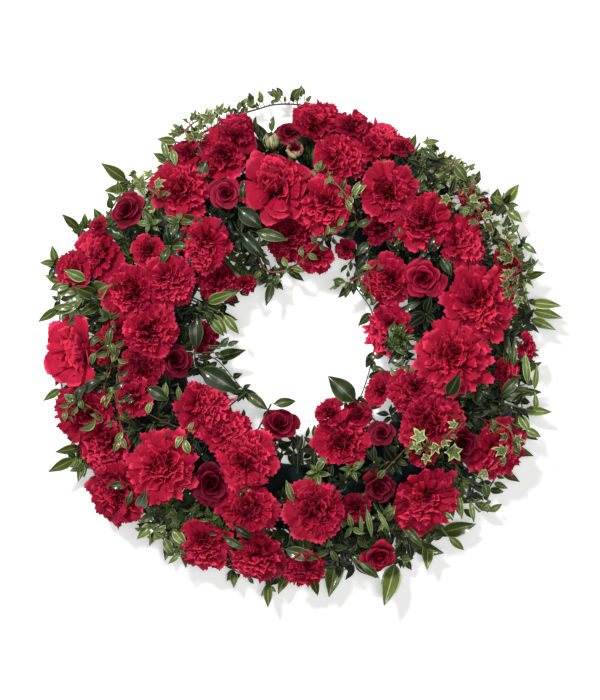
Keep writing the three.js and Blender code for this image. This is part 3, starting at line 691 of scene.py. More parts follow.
def tube(heap, path, radii, tint=0.5, sides=6, slot=STEM_SLOT):
    """A round stem along a path, closed at both ends."""
    path = np.asarray(path, dtype=float)
    radii = np.broadcast_to(np.asarray(radii, dtype=float), len(path))
    ways = np.gradient(path, axis=0)
    side = aside_of(unit(ways[0]))
    angles = np.arange(sides) * 2 * math.pi / sides
    rings = []
    for point, way, radius in zip(path, ways, radii):
        way = unit(way)
        side = unit(side - way * side.dot(way))
        other = np.cross(way, side)
        ring = np.cos(angles)[:, None] * side + np.sin(angles)[:, None] * other
        rings.append(point + radius * ring)
    rings = np.array(rings)
    faces = []
    for k in range(len(path) - 1):
        for j in range(sides):
            a = k * sides + j
            b = k * sides + (j + 1) % sides
            faces.append((a, b, b + sides, a + sides))
    count = len(path)
    around = np.arange(sides) / sides
    places = np.stack(np.meshgrid(around, np.linspace(0, 1, count)), axis=-1).reshape(-1, 2)
    heap.add(rings, faces, slot, places, tint)
    for ring, place in ((rings[0][::-1], (0.5, 0.0)), (rings[-1], (0.5, 1.0))):
        middle = ring.mean(axis=0)
        fan = [(k, (k + 1) % sides, sides) for k in range(sides)]
        heap.add(np.vstack([ring, middle]), fan, slot, place, tint)


def stalk(heap, path, radius, tint=0.5):
    """The fine stalk of a leaf."""
    tube(heap, path, radius, tint, sides=4)


def holding_stem(heap, foot, top, radius):
    """A straight stem out of the foam that holds leaves up."""
    tube(heap, [foot, (foot + top) / 2, top], radius, tint=0.3, sides=5)


# Flowers

@dataclass
class Head:
    kind: str
    across: float
    down: float
    radius: float
    lift: float
    shade: float
    middle: np.ndarray
    axis: np.ndarray
    calyx_top: np.ndarray
    calyx_foot: np.ndarray
    along: np.ndarray
    foot: np.ndarray
    planes: list


def lay(flower):
    """Where a flower's head, calyx and stem lie, worked out from its place in the front view."""
    kind, across, down, width, lift, shade = flower
    height = FACE_HEIGHT
    for _ in range(4):
        point = spot(across, down, height)
        out = math.hypot(point[0], point[1]) - RING_RADIUS
        reach = max(BLOOM_REACH + LIFT_STEP * lift, abs(out) / math.sin(MOST_LEAN))
        lean = math.asin(out / reach)
        height = CORE_HEIGHT + reach * math.cos(lean)
    outward = unit(np.array([point[0], point[1], 0.0]))
    turn = lean * FACE_SHARE
    axis = outward * math.sin(turn) + UP * math.cos(turn)
    radius = SWELL * width * MM / 2
    calyx_top = point - axis * DEPTH[kind] * radius
    calyx_foot = calyx_top - axis * CALYX_LENGTH * min(1.0, radius / FULL_RADIUS)
    core = outward * RING_RADIUS + UP * CORE_HEIGHT
    along = unit(calyx_foot - core)
    foot = core + along * STEM_FOOT
    return Head(
        kind, across, down, radius, lift, shade, point, axis, calyx_top, calyx_foot, along, foot, []
    )


def stand(across, down, lift):
    """Where a leafy stem stands in the foam and ends."""
    return lay((SMALL, across, down, LEAF_STAND, lift, 0))


def lay_stem(flowers):
    """A side shoot starts inside the main stem instead of in the foam."""
    heads = [lay(flower) for flower in flowers]
    main = heads[0]
    for shoot in heads[1:]:
        shoot.foot = main.foot + main.along * FORK
        shoot.along = unit(shoot.calyx_foot - shoot.foot)
    return heads


def part(head, other):
    """The plane along which a head meets its neighbour: its normal, its offset and if it is firm."""
    grow = unit(unit(head.middle - head.foot) + unit(other.middle - other.foot))
    between = other.middle - head.middle
    between = between - grow * between.dot(grow)
    distance = np.linalg.norm(between)
    normal = between / distance
    front = LIFT_STEP * (head.lift - other.lift)
    share = 0.5 + (head.radius - other.radius + front) / (2 * distance)
    share = min(max(share, 1 - MOST_SHARE), MOST_SHARE)
    firm = other.kind == BUD
    return normal, head.middle.dot(normal) + (BUD_SHARE if firm else share) * distance, firm


def lay_all():
    """Every stem's heads, each with the planes that its neighbours press it along."""
    stems = {}
    for group in (ROSES, BUDDING, CARNATIONS, FILL_FLOWERS):
        for name, flowers in group.items():
            stems[name] = lay_stem(flowers)
    for name, heads in stems.items():
        for other_name, others in stems.items():
            if other_name == name:
                continue
            for head in heads:
                for other in others:
                    room = BUD_ROOM if other.kind == BUD else 0.0
                    if np.linalg.norm(head.middle - other.middle) < head.radius + other.radius + room:
                        head.planes.append(part(head, other))
    return stems


STEMS = lay_all()
HEADS = [head for heads in STEMS.values() for head in heads]


def press(points, head, slack):
    """Folds petals up where they meet a neighbour; each petal gives way a little differently."""
    give = GIVE * head.radius
    for normal, offset, firm in head.planes:
        over = points @ normal - (offset - give + (0.0 if firm else slack) * head.radius)
        kept = np.where(over > 0, give * (1 - np.exp(-np.maximum(over, 0) / give)), over)
        moved = over - kept
        points = points - moved[..., None] * normal + FOLD_UP * moved[..., None] * head.axis
    return points


def in_head(head, x, y, up):
    """Points beside a head's axis and up along it, in radii."""
    aside = aside_of(head.axis)
    across = np.cross(head.axis, aside)
    flat = x[..., None] * aside + y[..., None] * across
    return head.middle + head.radius * (flat + up[..., None] * head.axis)


def round_axis(head, out, up, angle):
    """Points at a distance out from a head's axis and up along it, in radii, at an angle round it."""
    return in_head(head, out * np.cos(angle), out * np.sin(angle), up)


def beside_axis(head, angle):
    """The direction square to a head's axis, at an angle round it."""
    return unit(round_axis(head, np.array(1.0), np.array(0.0), np.array(angle)) - head.middle)


def petal_grid(petals, columns, rows):
    """Across a petal from -1 to 1, along it from 0 to 1, and the petals' numbers."""
    u = np.linspace(-1, 1, columns)[None, None, :]
    v = np.linspace(0, 1, rows)[None, :, None]
    return u, v, np.arange(petals)[:, None, None]


def teeth(columns):
    """Out and in by turns across the edge of a petal."""
    return np.where(np.arange(columns) % 2 == 0, 1.0, -1.0)[None, None, :]


def add_petals(heap, points, u, along, tint, vein_and_shade_mask, slot=PETAL_SLOT):
    """Adds petals that are each a sheet of rows by columns of points."""
    petals, rows, columns = along.shape
    places = np.stack([np.broadcast_to((u + 1) / 2, along.shape), along], axis=-1).reshape(-1, 2)
    tint = np.broadcast_to(tint, along.shape).ravel()
    vein_and_shade_mask = np.broadcast_to(vein_and_shade_mask, along.shape).ravel()
    heap.add(points, grid_faces(petals, rows, columns), slot, places, tint, vein_and_shade_mask)


def ruffled_tier(heap, head, tier, grid, rng, fullness):
    """One tier of fan-shaped petals with wavy, toothed edges."""
    petals, reach, uneven, height, spread, ruffle, waves, arch = tier
    columns, rows = grid
    shape = (petals, 1, 1)
    u, v, number = petal_grid(petals, columns, rows)
    v = v**0.8
    turn = rng.uniform(0, 2 * math.pi)
    facing = turn + (number + rng.uniform(-0.25, 0.25, shape)) * 2 * math.pi / petals
    reach = reach * rng.uniform(1 - uneven, 1 + 0.6 * uneven, shape)
    height = height + rng.uniform(-0.07, 0.09, shape)
    tooth = teeth(columns)
    if arch > 0.04:
        tooth = (WIDE_TOOTH if petals < MANY else RAYED_TOOTH) * tooth
    nick = rng.uniform(0.3, 1.6, (petals, 1, columns)) * tooth
    lobe = np.sin(math.pi * u * rng.uniform(0.9, 1.7, shape) + rng.uniform(0, 6, shape))
    s = v * (1 - (0.1 + arch) * u**2 - 0.12 * u**6 + 0.05 * lobe * v**2 + 0.028 * nick * v**6)
    mouth = 0.12
    bend_out = 0.42 * reach
    bend_up = height + 0.16 * (reach - 0.4)
    out = (1 - s) ** 2 * mouth + 2 * s * (1 - s) * bend_out + s**2 * reach
    up = (1 - s) ** 2 * OPEN_FOOT + 2 * s * (1 - s) * bend_up + s**2 * height
    slope_out = 2 * (1 - s) * (bend_out - mouth) + 2 * s * (reach - bend_out)
    slope_up = 2 * (1 - s) * (bend_up - OPEN_FOOT) + 2 * s * (height - bend_up)
    steep = np.hypot(slope_out, slope_up)
    swing = rng.uniform(0, 2 * math.pi, shape)
    wave = np.sin(math.pi * waves * u * rng.uniform(0.8, 1.2, shape) + swing)
    fine = np.sin(math.pi * waves * 2.3 * u + rng.uniform(0, 6, shape))
    push = fullness * ruffle * s**1.6 * (wave + 0.45 * fine * v**2) + arch * s * (0.6 - u**2)
    out = out - push * slope_up / steep
    up = up + push * slope_out / steep
    fold = 0.06 * np.sin(math.pi * waves * u + swing + 1.2) * v
    angle = facing + (u + fold) * spread * (0.3 + 0.7 * s)
    up = up + rng.uniform(0.0, 0.2) * np.cos(angle - rng.uniform(0, 2 * math.pi)) * s
    out, up, angle, s = np.broadcast_arrays(out, up, angle, s)
    slack = rng.uniform(-0.06, 0.36, shape)
    points = press(round_axis(head, np.maximum(out, 0.03), up, angle), head, slack)
    # The open tiers are painted a little darker and the crumpled heart a little paler: painted light that
    # evens out the shade falling in the heart.
    tint = head.shade + rng.uniform(-0.22, 0.06, shape)
    add_petals(heap, points, u, np.clip(RIM_REACH * s, 0, 1), tint, 1.0)


def crumpled_petals(heap, head, grid, rng, fullness, off=(0.0, 0.0), heart=HEART):
    """The crumpled middle of a carnation: petals that stand up with wavering edges."""
    petals = HEART_PETALS[head.kind]
    columns, rows = grid
    shape = (petals, 1, 1)
    u, v, number = petal_grid(petals, columns, rows)
    out = heart * np.sqrt((number + 0.15) / petals)
    facing = number * GOLDEN_ANGLE + rng.uniform(0, 0.7, shape)
    turn = facing + math.pi / 2 + rng.uniform(-1.2, 1.2, shape)
    half = rng.uniform(0.2, 0.42, shape)
    wave = np.sin(math.pi * rng.uniform(1.4, 2.5, shape) * u + rng.uniform(0, 6, shape))
    fine = np.sin(math.pi * 4.6 * u + rng.uniform(0, 6, shape))
    curl = rng.uniform(-0.22, 0.22, shape)
    aside = fullness * (0.085 * wave + 0.02 * fine) * (0.3 + 0.7 * v) + curl * u**2
    aside = aside + rng.uniform(0.0, 0.11, shape) * np.sign(curl) * v**4
    along = half * u * (0.5 + 0.5 * v)
    middle_x = out * np.cos(facing)
    middle_y = out * np.sin(facing)
    x = middle_x + along * np.cos(turn) - aside * np.sin(turn)
    y = middle_y + along * np.sin(turn) + aside * np.cos(turn)
    x = x + off[0] * v
    y = y + off[1] * v
    rise = v ** rng.uniform(0.6, 1.05, shape)
    x = 0.22 * middle_x + (x - 0.22 * middle_x) * rise
    y = 0.22 * middle_y + (y - 0.22 * middle_y) * rise
    nick = 0.016 * teeth(columns) * rng.uniform(0.2, 1.6, (petals, 1, columns)) * v**6
    top = 0.48 - 0.5 * out**2 - 0.1 * u**2 + rng.uniform(-0.09, 0.07, shape)
    up = CRUMPLED_FOOT + (top - CRUMPLED_FOOT) * v**0.8 + nick
    # tall, how far up each petal a point is, is also the depth mask for the painted shade low in the heart.
    x, y, up, tall = np.broadcast_arrays(x, y, up, v)
    points = press(in_head(head, x, y, up), head, rng.uniform(-0.05, 0.2, shape))
    # Painted light: the heart's petals are painted paler than the open tiers, to lift the shade that falls
    # among them.
    add_petals(heap, points, u, tall, head.shade + rng.uniform(0.0, 0.3, shape), tall)


def cupped_petals(heap, head, rng, ruffle):
    """A rose's petals, from the tight heart out to the rolled rims."""
    shape = (ROSE_PETALS, 1, 1)
    u, v, number = petal_grid(ROSE_PETALS, *ROSE_GRID)
    t = number / (ROSE_PETALS - 1)
    facing = number * GOLDEN_ANGLE + rng.uniform(-0.3, 0.3, shape)
    spread = (1.45 - 0.75 * t) * rng.uniform(0.85, 1.12, shape)
    rim = 0.05 + 0.93 * t**0.8 * rng.uniform(0.86, 1.05, shape)
    base = 0.04 + 0.3 * t
    top = 0.36 - 0.3 * t**1.5 + rng.uniform(-0.05, 0.04, shape)
    point = 0.07 * np.exp(-((u / 0.3) ** 2)) * v**3 * t
    s = v * (1 - 0.1 * u**2 - 0.12 * u**6) + point
    out = base + (rim - base) * s**1.25
    up = ROSE_FOOT + (top - ROSE_FOOT) * (1 - (1 - np.minimum(s, 1)) ** 1.4)
    roll = np.clip(s - 0.76, 0, 1) * t * rng.uniform(0.5, 1.4, shape) * (0.7 + 0.3 * np.sign(u) * u)
    out = out + 0.9 * roll + 0.05 * u * (1 - 0.5 * t)
    up = up - 2.4 * roll**1.4
    swing = rng.uniform(0, 6, shape)
    out = out + ruffle * np.sin(4.4 * u + swing) * v**2 * (0.3 + 0.7 * t)
    up = up + ruffle * np.sin(6.1 * u + 2 * swing) * v**3 * (0.2 + 0.8 * t)
    angle = facing + u * spread * (0.55 + 0.45 * np.sin(0.5 * math.pi * np.clip(s, 0, 1)))
    out, up, angle, s = np.broadcast_arrays(out, up, angle, s)
    points = press(round_axis(head, out, up, angle), head, rng.uniform(0.0, 0.12, shape))
    tint = head.shade + rng.uniform(-0.15, 0.15, shape)
    # The last value is the depth mask for the painted shade low on the rose's petals.
    add_petals(heap, points, u, np.clip(s, 0, 1), tint, 0.5 + 0.5 * v)


def closed_petals(heap, head, rng):
    """A bud's petals: still wrapped, or parted round the red of an opening one."""
    closed = 0.6 - 0.6 * head.shade
    u, v, number = petal_grid(BUD_PETALS, *BUD_GRID)
    facing = number * GOLDEN_ANGLE
    girth = 1.0 - 0.06 * number
    out = girth * (0.45 + 0.55 * np.sin(math.pi * (0.15 + 0.6 * v))) * (1 - closed * v**3) + 0.05 * u
    up = BUD_FOOT + (1.25 + closed) * v * (1 - 0.12 * u**2)
    angle = facing + u * 0.95 * (1 - 0.2 * v)
    out, up, angle, along = np.broadcast_arrays(out, up, angle, v)
    points = round_axis(head, out, up, angle)
    add_petals(heap, points, u, along, head.shade + rng.uniform(-0.05, 0.05), 0.5, BUD_SLOT)


def stalk_of(heap, head):
    """The stem, and the calyx that holds the petals."""
    girth = CALYX[head.kind] * head.radius
    bend = (head.foot + head.calyx_foot) / 2
    path = smooth([head.foot, bend, head.calyx_foot], 3)
    tube(heap, path, STEM_RADIUS)
    levels = np.array([0.0, 0.08, 0.3, 0.7, 1.0])
    widths = np.array([1.15 * STEM_RADIUS, 0.5 * girth, 0.72 * girth, 0.88 * girth, 1.02 * girth])
    calyx = head.calyx_foot + levels[:, None] * (head.calyx_top - head.calyx_foot)
    tube(heap, calyx, np.maximum(widths, 1.1 * STEM_RADIUS), tint=0.4, sides=10)
    if head.kind != BUD:
        top = -0.42 if head.kind == ROSE else 0.05
        # A core of petal colour fills the middle of the head; with no depth mask it takes the dark throat
        # colour, painted shade where the petals leave a hole.
        low = head.calyx_top - 0.02 * head.radius * head.axis
        high = head.middle + top * head.radius * head.axis
        tube(heap, [low, high], np.array([0.23, 0.16]) * head.radius, sides=8, slot=PETAL_SLOT)


def sepals_of(heap, head, rng, length):
    """Five pointed sepals under the petals."""
    for k in range(5):
        angle = np.array(2 * math.pi * k / 5 + rng.uniform(-0.2, 0.2))
        base = round_axis(head, np.array(0.3), np.array(-DEPTH[head.kind] - 0.05), angle)
        tip = round_axis(head, np.array(length), np.array(-0.2 + rng.uniform(-0.25, 0.15)), angle)
        tint = rng.uniform(0.3, 0.8)
        leaf(heap, base, tip, 0.3 * head.radius, tint, head.axis, bow=-0.1, keel=0.22, slot=STEM_SLOT)


def seen_from_front(head, off):
    """A step across and up the front view, as a step beside a head's axis."""
    aside = aside_of(head.axis)
    across = np.cross(head.axis, aside)
    step = np.array([off[0], off[1], 0.0])
    return step.dot(aside), step.dot(across)


def flower(name, heads, seed, fullness):
    """All the heads of one stem as one piece."""
    rng = np.random.default_rng(seed)
    heap = Heap()
    for head in heads:
        stalk_of(heap, head)
        if head.kind == CARNATION:
            tiers = CARNATION_TIERS
            heart = HEART
            if head is heads[0] and name in WIDE_OPEN + RAYED:
                tiers = WIDE_TIERS if name in WIDE_OPEN else RAYED_TIERS
                heart = OPEN_HEART
            for tier in tiers:
                ruffled_tier(heap, head, tier, WIDE_GRID if tier[0] < MANY else RAYED_GRID, rng, fullness)
            off = rng.uniform(-0.26, 0.26, 2)
            if head is heads[0]:
                heart = HEARTS.get(name, heart)
                if name in OFF_CENTRE:
                    off = seen_from_front(head, OFF_CENTRE[name])
            crumpled_petals(heap, head, CRUMPLED_GRID, rng, fullness, off, heart)
        if head.kind == SMALL:
            for tier in SMALL_TIERS:
                ruffled_tier(heap, head, tier, SMALL_GRID, rng, fullness)
            crumpled_petals(heap, head, SMALL_HEART_GRID, rng, fullness)
        if head.kind == ROSE:
            cupped_petals(heap, head, rng, RUFFLED_WAVE if name in RUFFLED else ROSE_WAVE)
            sepals_of(heap, head, rng, 1.0)
        if head.kind == BUD:
            closed_petals(heap, head, rng)
            if head.shade > 0.5:
                crumpled_petals(heap, head, BUD_HEART_GRID, rng, 0.6, heart=BUD_HEART)
            sepals_of(heap, head, rng, 0.8)
    return heap


# Leaves

LEAF_OUTLINE = np.array([0.05, 0.08, 0.58, 0.9, 1.0, 0.98, 0.86, 0.64, 0.34, 0.0])


def leaf(heap, base, tip, width, tint, face=UP, bow=0.09, keel=0.3, wave=0.0, slot=LEAF_SLOT):
    """A pointed leaf, bowed along its length and folded along its midrib."""
    along = tip - base
    length = np.linalg.norm(along)
    way = along / length
    side = np.cross(way, face)
    if np.linalg.norm(side) < 1e-6:
        side = aside_of(way)
    side = unit(side)
    normal = np.cross(side, way)
    rows = len(LEAF_OUTLINE)
    v = np.linspace(0, 1, rows)
    u = np.array([-1.0, -0.5, 0.0, 0.5, 1.0])
    half = width / 2 * LEAF_OUTLINE
    half[-1] = 0.02 * width
    spine = base + v[:, None] * along + (bow * length * np.sin(math.pi * v))[:, None] * normal
    lift = keel * np.abs(u)[None, :] * half[:, None]
    lift = lift + wave * half[:, None] * u[None, :] ** 2 * np.sin(9 * v)[:, None]
    points = spine[:, None, :] + (u[None, :] * half[:, None])[..., None] * side
    points = points + lift[..., None] * normal
    places = np.stack(np.meshgrid((u + 1) / 2, v), axis=-1).reshape(-1, 2)
    vein_and_shade_mask = np.tile(1 - np.abs(u), rows)
    heap.add(points, grid_faces(1, rows, len(u)), slot, places, tint, vein_and_shade_mask)


# The lobes of an ivy leaf: degrees from its tip, and how long; and how far the edge reaches between them
LOBES = ((0.0, 1.0), (58.0, 0.8), (122.0, 0.62), (238.0, 0.62), (302.0, 0.8))
BETWEEN_LOBES = 0.42
LOBE_WIDTH = 0.42


def lobed_reach(angle):
    """How far the edge of an ivy leaf is from its middle, at an angle from its tip."""
    reach = BETWEEN_LOBES
    for facing, size in LOBES:
        off = (angle - math.radians(facing) + math.pi) % (2 * math.pi) - math.pi
        reach = max(reach, size * math.exp(-((off / LOBE_WIDTH) ** 2)))
    return reach


def ivy_leaf(heap, base, tip, tint, face, droop):
    """A five-lobed ivy leaf whose veins run out to its lobes."""
    way = unit(tip - base)
    side = unit(np.cross(way, face))
    normal = np.cross(side, way)
    size = np.linalg.norm(tip - base) / 1.35
    middle = base + way * 0.35 * size
    angles = []
    for facing, _ in LOBES:
        angles += [facing - 16, facing, facing + 16, facing + 30]
    angles = np.radians(sorted(angles))
    reach = np.array([lobed_reach(angle) for angle in angles])
    count = len(angles)
    on_vein = np.array([min(abs(math.degrees(a) - f) for f, _ in LOBES) < 1 for a in angles], dtype=float)
    points = [middle]
    places = [(0.5, 0.0)]
    vein_and_shade_mask = [1.0]
    for share in (0.4, 0.78, 1.0):
        for k, angle in enumerate(angles):
            out = share * size * reach[k]
            flat = math.cos(angle) * way + math.sin(angle) * side
            fold = (0.3 * (1 - on_vein[k]) - 0.07) * out
            points.append(middle + out * flat + (fold - droop * out * out / size) * normal)
            places.append(((angle / (2 * math.pi)) % 1.0, share))
            vein_and_shade_mask.append(on_vein[k])
    faces = [(0, 1 + k, 1 + (k + 1) % count) for k in range(count)]
    heap.add(points, faces, LEAF_SLOT, places, tint, vein_and_shade_mask)
    start = heap.count - len(points)
    rings = []
    for ring in range(2):
        for k in range(count):
            a = start + 1 + ring * count + k
            b = start + 1 + ring * count + (k + 1) % count
            rings.append([a, a + count, b + count, b])
    heap.faces.extend(rings)
    heap.slots.extend([LEAF_SLOT] * len(rings))


def leaf_height(radius):
    """Low beside the foam, rising as the leaf comes out from under the flowers."""
    inner = RING_RADIUS - FOAM_WIDTH / 2
    if radius < inner:
        return SPRAY_HEIGHT + INNER_RISE * (inner - radius)
    return SPRAY_HEIGHT + OUTER_RISE * max(0.0, radius - OUTER_EDGE)


def leaf_spot(across, down):
    """The point that shows at a pixel, at the height of the leaves there."""
    point = spot(across, down, SPRAY_HEIGHT)
    for _ in range(3):
        point = spot(across, down, leaf_height(math.hypot(point[0], point[1])))
    return point


def spray_path(leaves):
    """The stem comes out of the foam wall level and runs past the base of each leaf."""
    bases = [leaf_spot(across, down) for across, down, *_ in leaves]
    outward = unit(np.array([bases[0][0], bases[0][1], 0.0]))
    way = math.copysign(1.0, bases[0].dot(outward) - RING_RADIUS)
    wall = RING_RADIUS + way * FOAM_WIDTH / 2
    start = [outward * (wall + way * out) + UP * SPRAY_HEIGHT for out in (-SPRAY_DEPTH, 0.0, SPRAY_CLEAR)]
    last = leaves[-1]
    end = bases[-1] + 0.25 * (leaf_spot(last[2], last[3]) - bases[-1])
    return smooth([*start, *bases, end], 6), bases


def spray(heap, slender, leaves, rng, small, pale, size_share=1.0):
    """A cut branch with its leaves in order along its stem, and small new ones between them."""
    path, bases = spray_path(leaves)
    girth = SPRAY_STEM_RADIUS * (0.65 if size_share == 1 else 0.85)
    tube(heap, path, np.linspace(girth, 0.6 * girth, len(path)))
    for base, (_, _, across, down, *own) in zip(bases, leaves):
        tip = leaf_spot(across, down)
        if size_share < 1:
            start = tip + size_share * (base - tip)
            stalk(heap, [base, start], 0.5 * MM)
            base = start
        length = np.linalg.norm(tip - base)
        tint = rng.uniform(0.3, 1.1) * pale
        width = (own or [slender])[0] * length * min(max(28 * MM / length, 0.95), 1.4)
        leaf(heap, base, tip, width, tint, wave=rng.uniform(0, 0.25))
        for _ in range(small):
            size = size_share**0.5 * rng.uniform(10, 20) * MM
            angle = math.atan2(tip[1] - base[1], tip[0] - base[0]) + rng.uniform(-1.5, 1.5)
            start = path[rng.integers(len(path) // 4, len(path) - 2)]
            reach = np.array([math.cos(angle), math.sin(angle), rng.uniform(0.1, 0.8)])
            if size_share < 1:
                node = start
                start = node + unit(reach) * rng.uniform(2, 11) * MM
                stalk(heap, [node, start], 0.45 * MM)
            end = start + unit(reach + rng.uniform(-0.4, 0.4, 3)) * size
            leaf(heap, start, end, 0.42 * size, rng.uniform(0.0, 1.0) * pale, bow=0.12)
    if size_share == 1:
        skirt(heap, path, rng)
    return heap


def skirt(heap, path, rng):
    """Dark leaves along a spray's stem that turn back under the flowers."""
    for start in path[len(path) // 8:]:
        outward = unit(np.array([start[0], start[1], 0.0]))
        back = outward * math.copysign(1.0, RING_RADIUS - start.dot(outward))
        aside = np.cross(UP, outward)
        hidden = cover(start) > FOAM_HIGH[2]
        for rise in (-0.1, 0.35, 0.8) if hidden else (0.3,):
            size = rng.uniform(20, 32) * MM * (1.0 if hidden else 0.6)
            way = unit(back + aside * rng.uniform(-1.1, 1.1) + UP * (rise + rng.uniform(-0.1, 0.2)))
            face = unit(UP + rng.uniform(-0.5, 0.5, 3))
            leaf(heap, start, start + way * size, 0.4 * size, rng.uniform(0.0, 0.3), face)


# Greenery over and between the flowers

def cover(point):
    """The height of the flowers over a point, from the domes of their heads."""
    top = FOAM_HIGH[2]
    for head in HEADS:
        away = math.hypot(point[0] - head.middle[0], point[1] - head.middle[1]) / head.radius
        if away < DOME_REACH:
            top = max(top, head.middle[2] + head.radius * (DOME_TOP - DOME_FALL * away**2))
    return top


def resting(across, down, above):
    """The point that shows at a pixel, at a height above the flowers there."""
    height = FACE_HEIGHT
    for _ in range(3):
        point = spot(across, down, height)
        height = cover(point) + above
    return spot(across, down, height)


def trail_leaf(heap, base, tip, pale, rng, slender):
    """One leaf of a trail: lobed, or narrow and bowed."""
    face = unit(UP + rng.uniform(-0.6, 0.6, 3))
    if slender:
        width = 0.44 * np.linalg.norm(tip - base)
        leaf(heap, base, tip, width, pale, face, rng.uniform(0.1, 0.28), keel=0.4, slot=NARROW_SLOT)
    else:
        ivy_leaf(heap, base, tip, pale, face, rng.uniform(0.2, 0.55))


def trail(heap, path, leaves, rng, young, narrow):
    """An ivy stem that climbs out of the foam and lies over the flowers, with its leaves on stalks."""
    start = stand(*path[0], -1)
    points = [start.foot, (start.foot + start.middle) / 2]
    points += [resting(across, down, 6 * MM) for across, down in path]
    line = smooth(points, 5)
    tube(heap, line, np.linspace(1.6, 0.8, len(line)) * MM)
    for across, down, size, facing, pale in leaves:
        reach = 0.88 * size * PIXEL
        middle = resting(across, down, 8 * MM)
        way = np.array([math.cos(math.radians(facing)), math.sin(math.radians(facing)), 0.0])
        base = middle - 0.5 * reach * way + UP * rng.uniform(-3, 1) * MM
        tip = middle + 0.5 * reach * way + UP * rng.uniform(-5, 3) * MM
        near = line[np.argmin(np.linalg.norm(line - base, axis=1))]
        bend = (near + base) / 2 + UP * 2 * MM
        stalk(heap, smooth([near, bend, base + 0.1 * reach * way], 3), 0.5 * MM, 0.6)
        trail_leaf(heap, base, tip, pale, rng, narrow > ALL_NARROW)
    for across, down in path:
        for _ in range(young):
            size = rng.uniform(6, 11)
            around = rng.uniform(0, 2 * math.pi)
            out = rng.uniform(3, 8 + 1.2 * young)
            place = (across + out * math.cos(around), down - out * math.sin(around))
            base = resting(across + rng.uniform(-4, 4), down + rng.uniform(-4, 4), 3 * MM)
            middle = resting(*place, 7 * MM)
            way = unit(middle - base)
            tip = middle + way * size * PIXEL * 0.5
            stalk(heap, [base, middle], 0.4 * MM, 0.6)
            slender = rng.uniform() < narrow
            foot = middle - way * size * PIXEL * (0.7 if slender else 0.5)
            trail_leaf(heap, foot, tip, rng.uniform(0.0, 0.9 if slender else 0.5), rng, slender)


def single_leaf(heap, leaf_place, rng):
    """A leaf on its own stem between the flowers."""
    across, down, tip_across, tip_down, slender, pale, lift = leaf_place
    head = stand(across, down, lift - 0.6)
    base = head.middle
    tip = spot(tip_across, tip_down, base[2] + rng.uniform(-4, 6) * MM)
    if lift >= ON_TOP:
        above = LIFT_STEP * (lift - ON_TOP)
        base = resting(across, down, 3 * MM + above)
        tip = resting(tip_across, tip_down, 4 * MM + above)
    holding_stem(heap, head.foot, base, 1.1 * MM)
    size = np.linalg.norm(tip - base)
    leaf(heap, base, tip, slender * size, pale, bow=0.12, wave=0.15)


def gaps():
    """Pixels between the flowers, widest gap first, each with how far it is from the nearest head."""
    across, down = np.meshgrid(np.arange(50, 560, GAP_STEP), np.arange(90, 610, GAP_STEP))
    grid = np.stack([across.ravel(), down.ravel()], axis=1).astype(float)
    out = np.hypot(grid[:, 0] - MIDDLE_X, grid[:, 1] - MIDDLE_Y)
    grid = grid[(out > GAP_BAND[0]) & (out < GAP_BAND[1])]
    room = np.full(len(grid), 100.0)
    for head in HEADS:
        away = np.hypot(grid[:, 0] - head.across, grid[:, 1] - head.down)
        room = np.minimum(room, away - 0.92 * head.radius / PIXEL)
    for across, down, width in BARE:
        room = np.where(np.hypot(grid[:, 0] - across, grid[:, 1] - down) < width, 0.0, room)
    found = []
    for _ in range(sizes().fill_sprigs):
        best = int(np.argmax(room))
        if room[best] < 1:
            break
        found.append((*grid[best], room[best]))
        away = np.hypot(*(grid - grid[best]).T)
        room = np.minimum(room, away - SPRIG_STEP)
    return found


def sprig(heap, head, length, leaves, rng, shade, open_up=0.65, bow=0.09):
    """A short stem from the foam with leaves round its tip."""
    holding_stem(heap, head.foot, head.middle, 1.2 * MM)
    for turn in range(leaves):
        size = length * rng.uniform(0.6, 1.2)
        beside = beside_axis(head, turn * GOLDEN_ANGLE + rng.uniform(-0.8, 0.8))
        start = head.middle - head.axis * 2.2 * MM * turn
        end = start + unit(beside + head.axis * (open_up + rng.uniform(-0.4, 0.4))) * size
        tint = shade + rng.uniform(-0.2, 0.3)
        leaf(heap, start, end, rng.uniform(0.3, 0.42) * size, tint, head.axis, bow)


def rosette(heap, head, length, leaves, rng, shade):
    """A tight rosette: inner leaves stand up and curl in, outer ones spread."""
    holding_stem(heap, head.foot, head.middle, 1.4 * MM)
    for turn in range(leaves):
        share = turn / (leaves - 1)
        beside = beside_axis(head, turn * GOLDEN_ANGLE + rng.uniform(-0.3, 0.3))
        start = head.middle + beside * 0.18 * share * length
        way = unit(beside * (0.35 + share) + head.axis * (1.0 - 0.7 * share))
        end = start + way * length * (0.55 + 0.4 * share)
        tint = shade + rng.uniform(-0.3, 0.2)
        leaf(heap, start, end, 0.72 * length, tint, head.axis, bow=0.42, keel=0.8, wave=0.4)


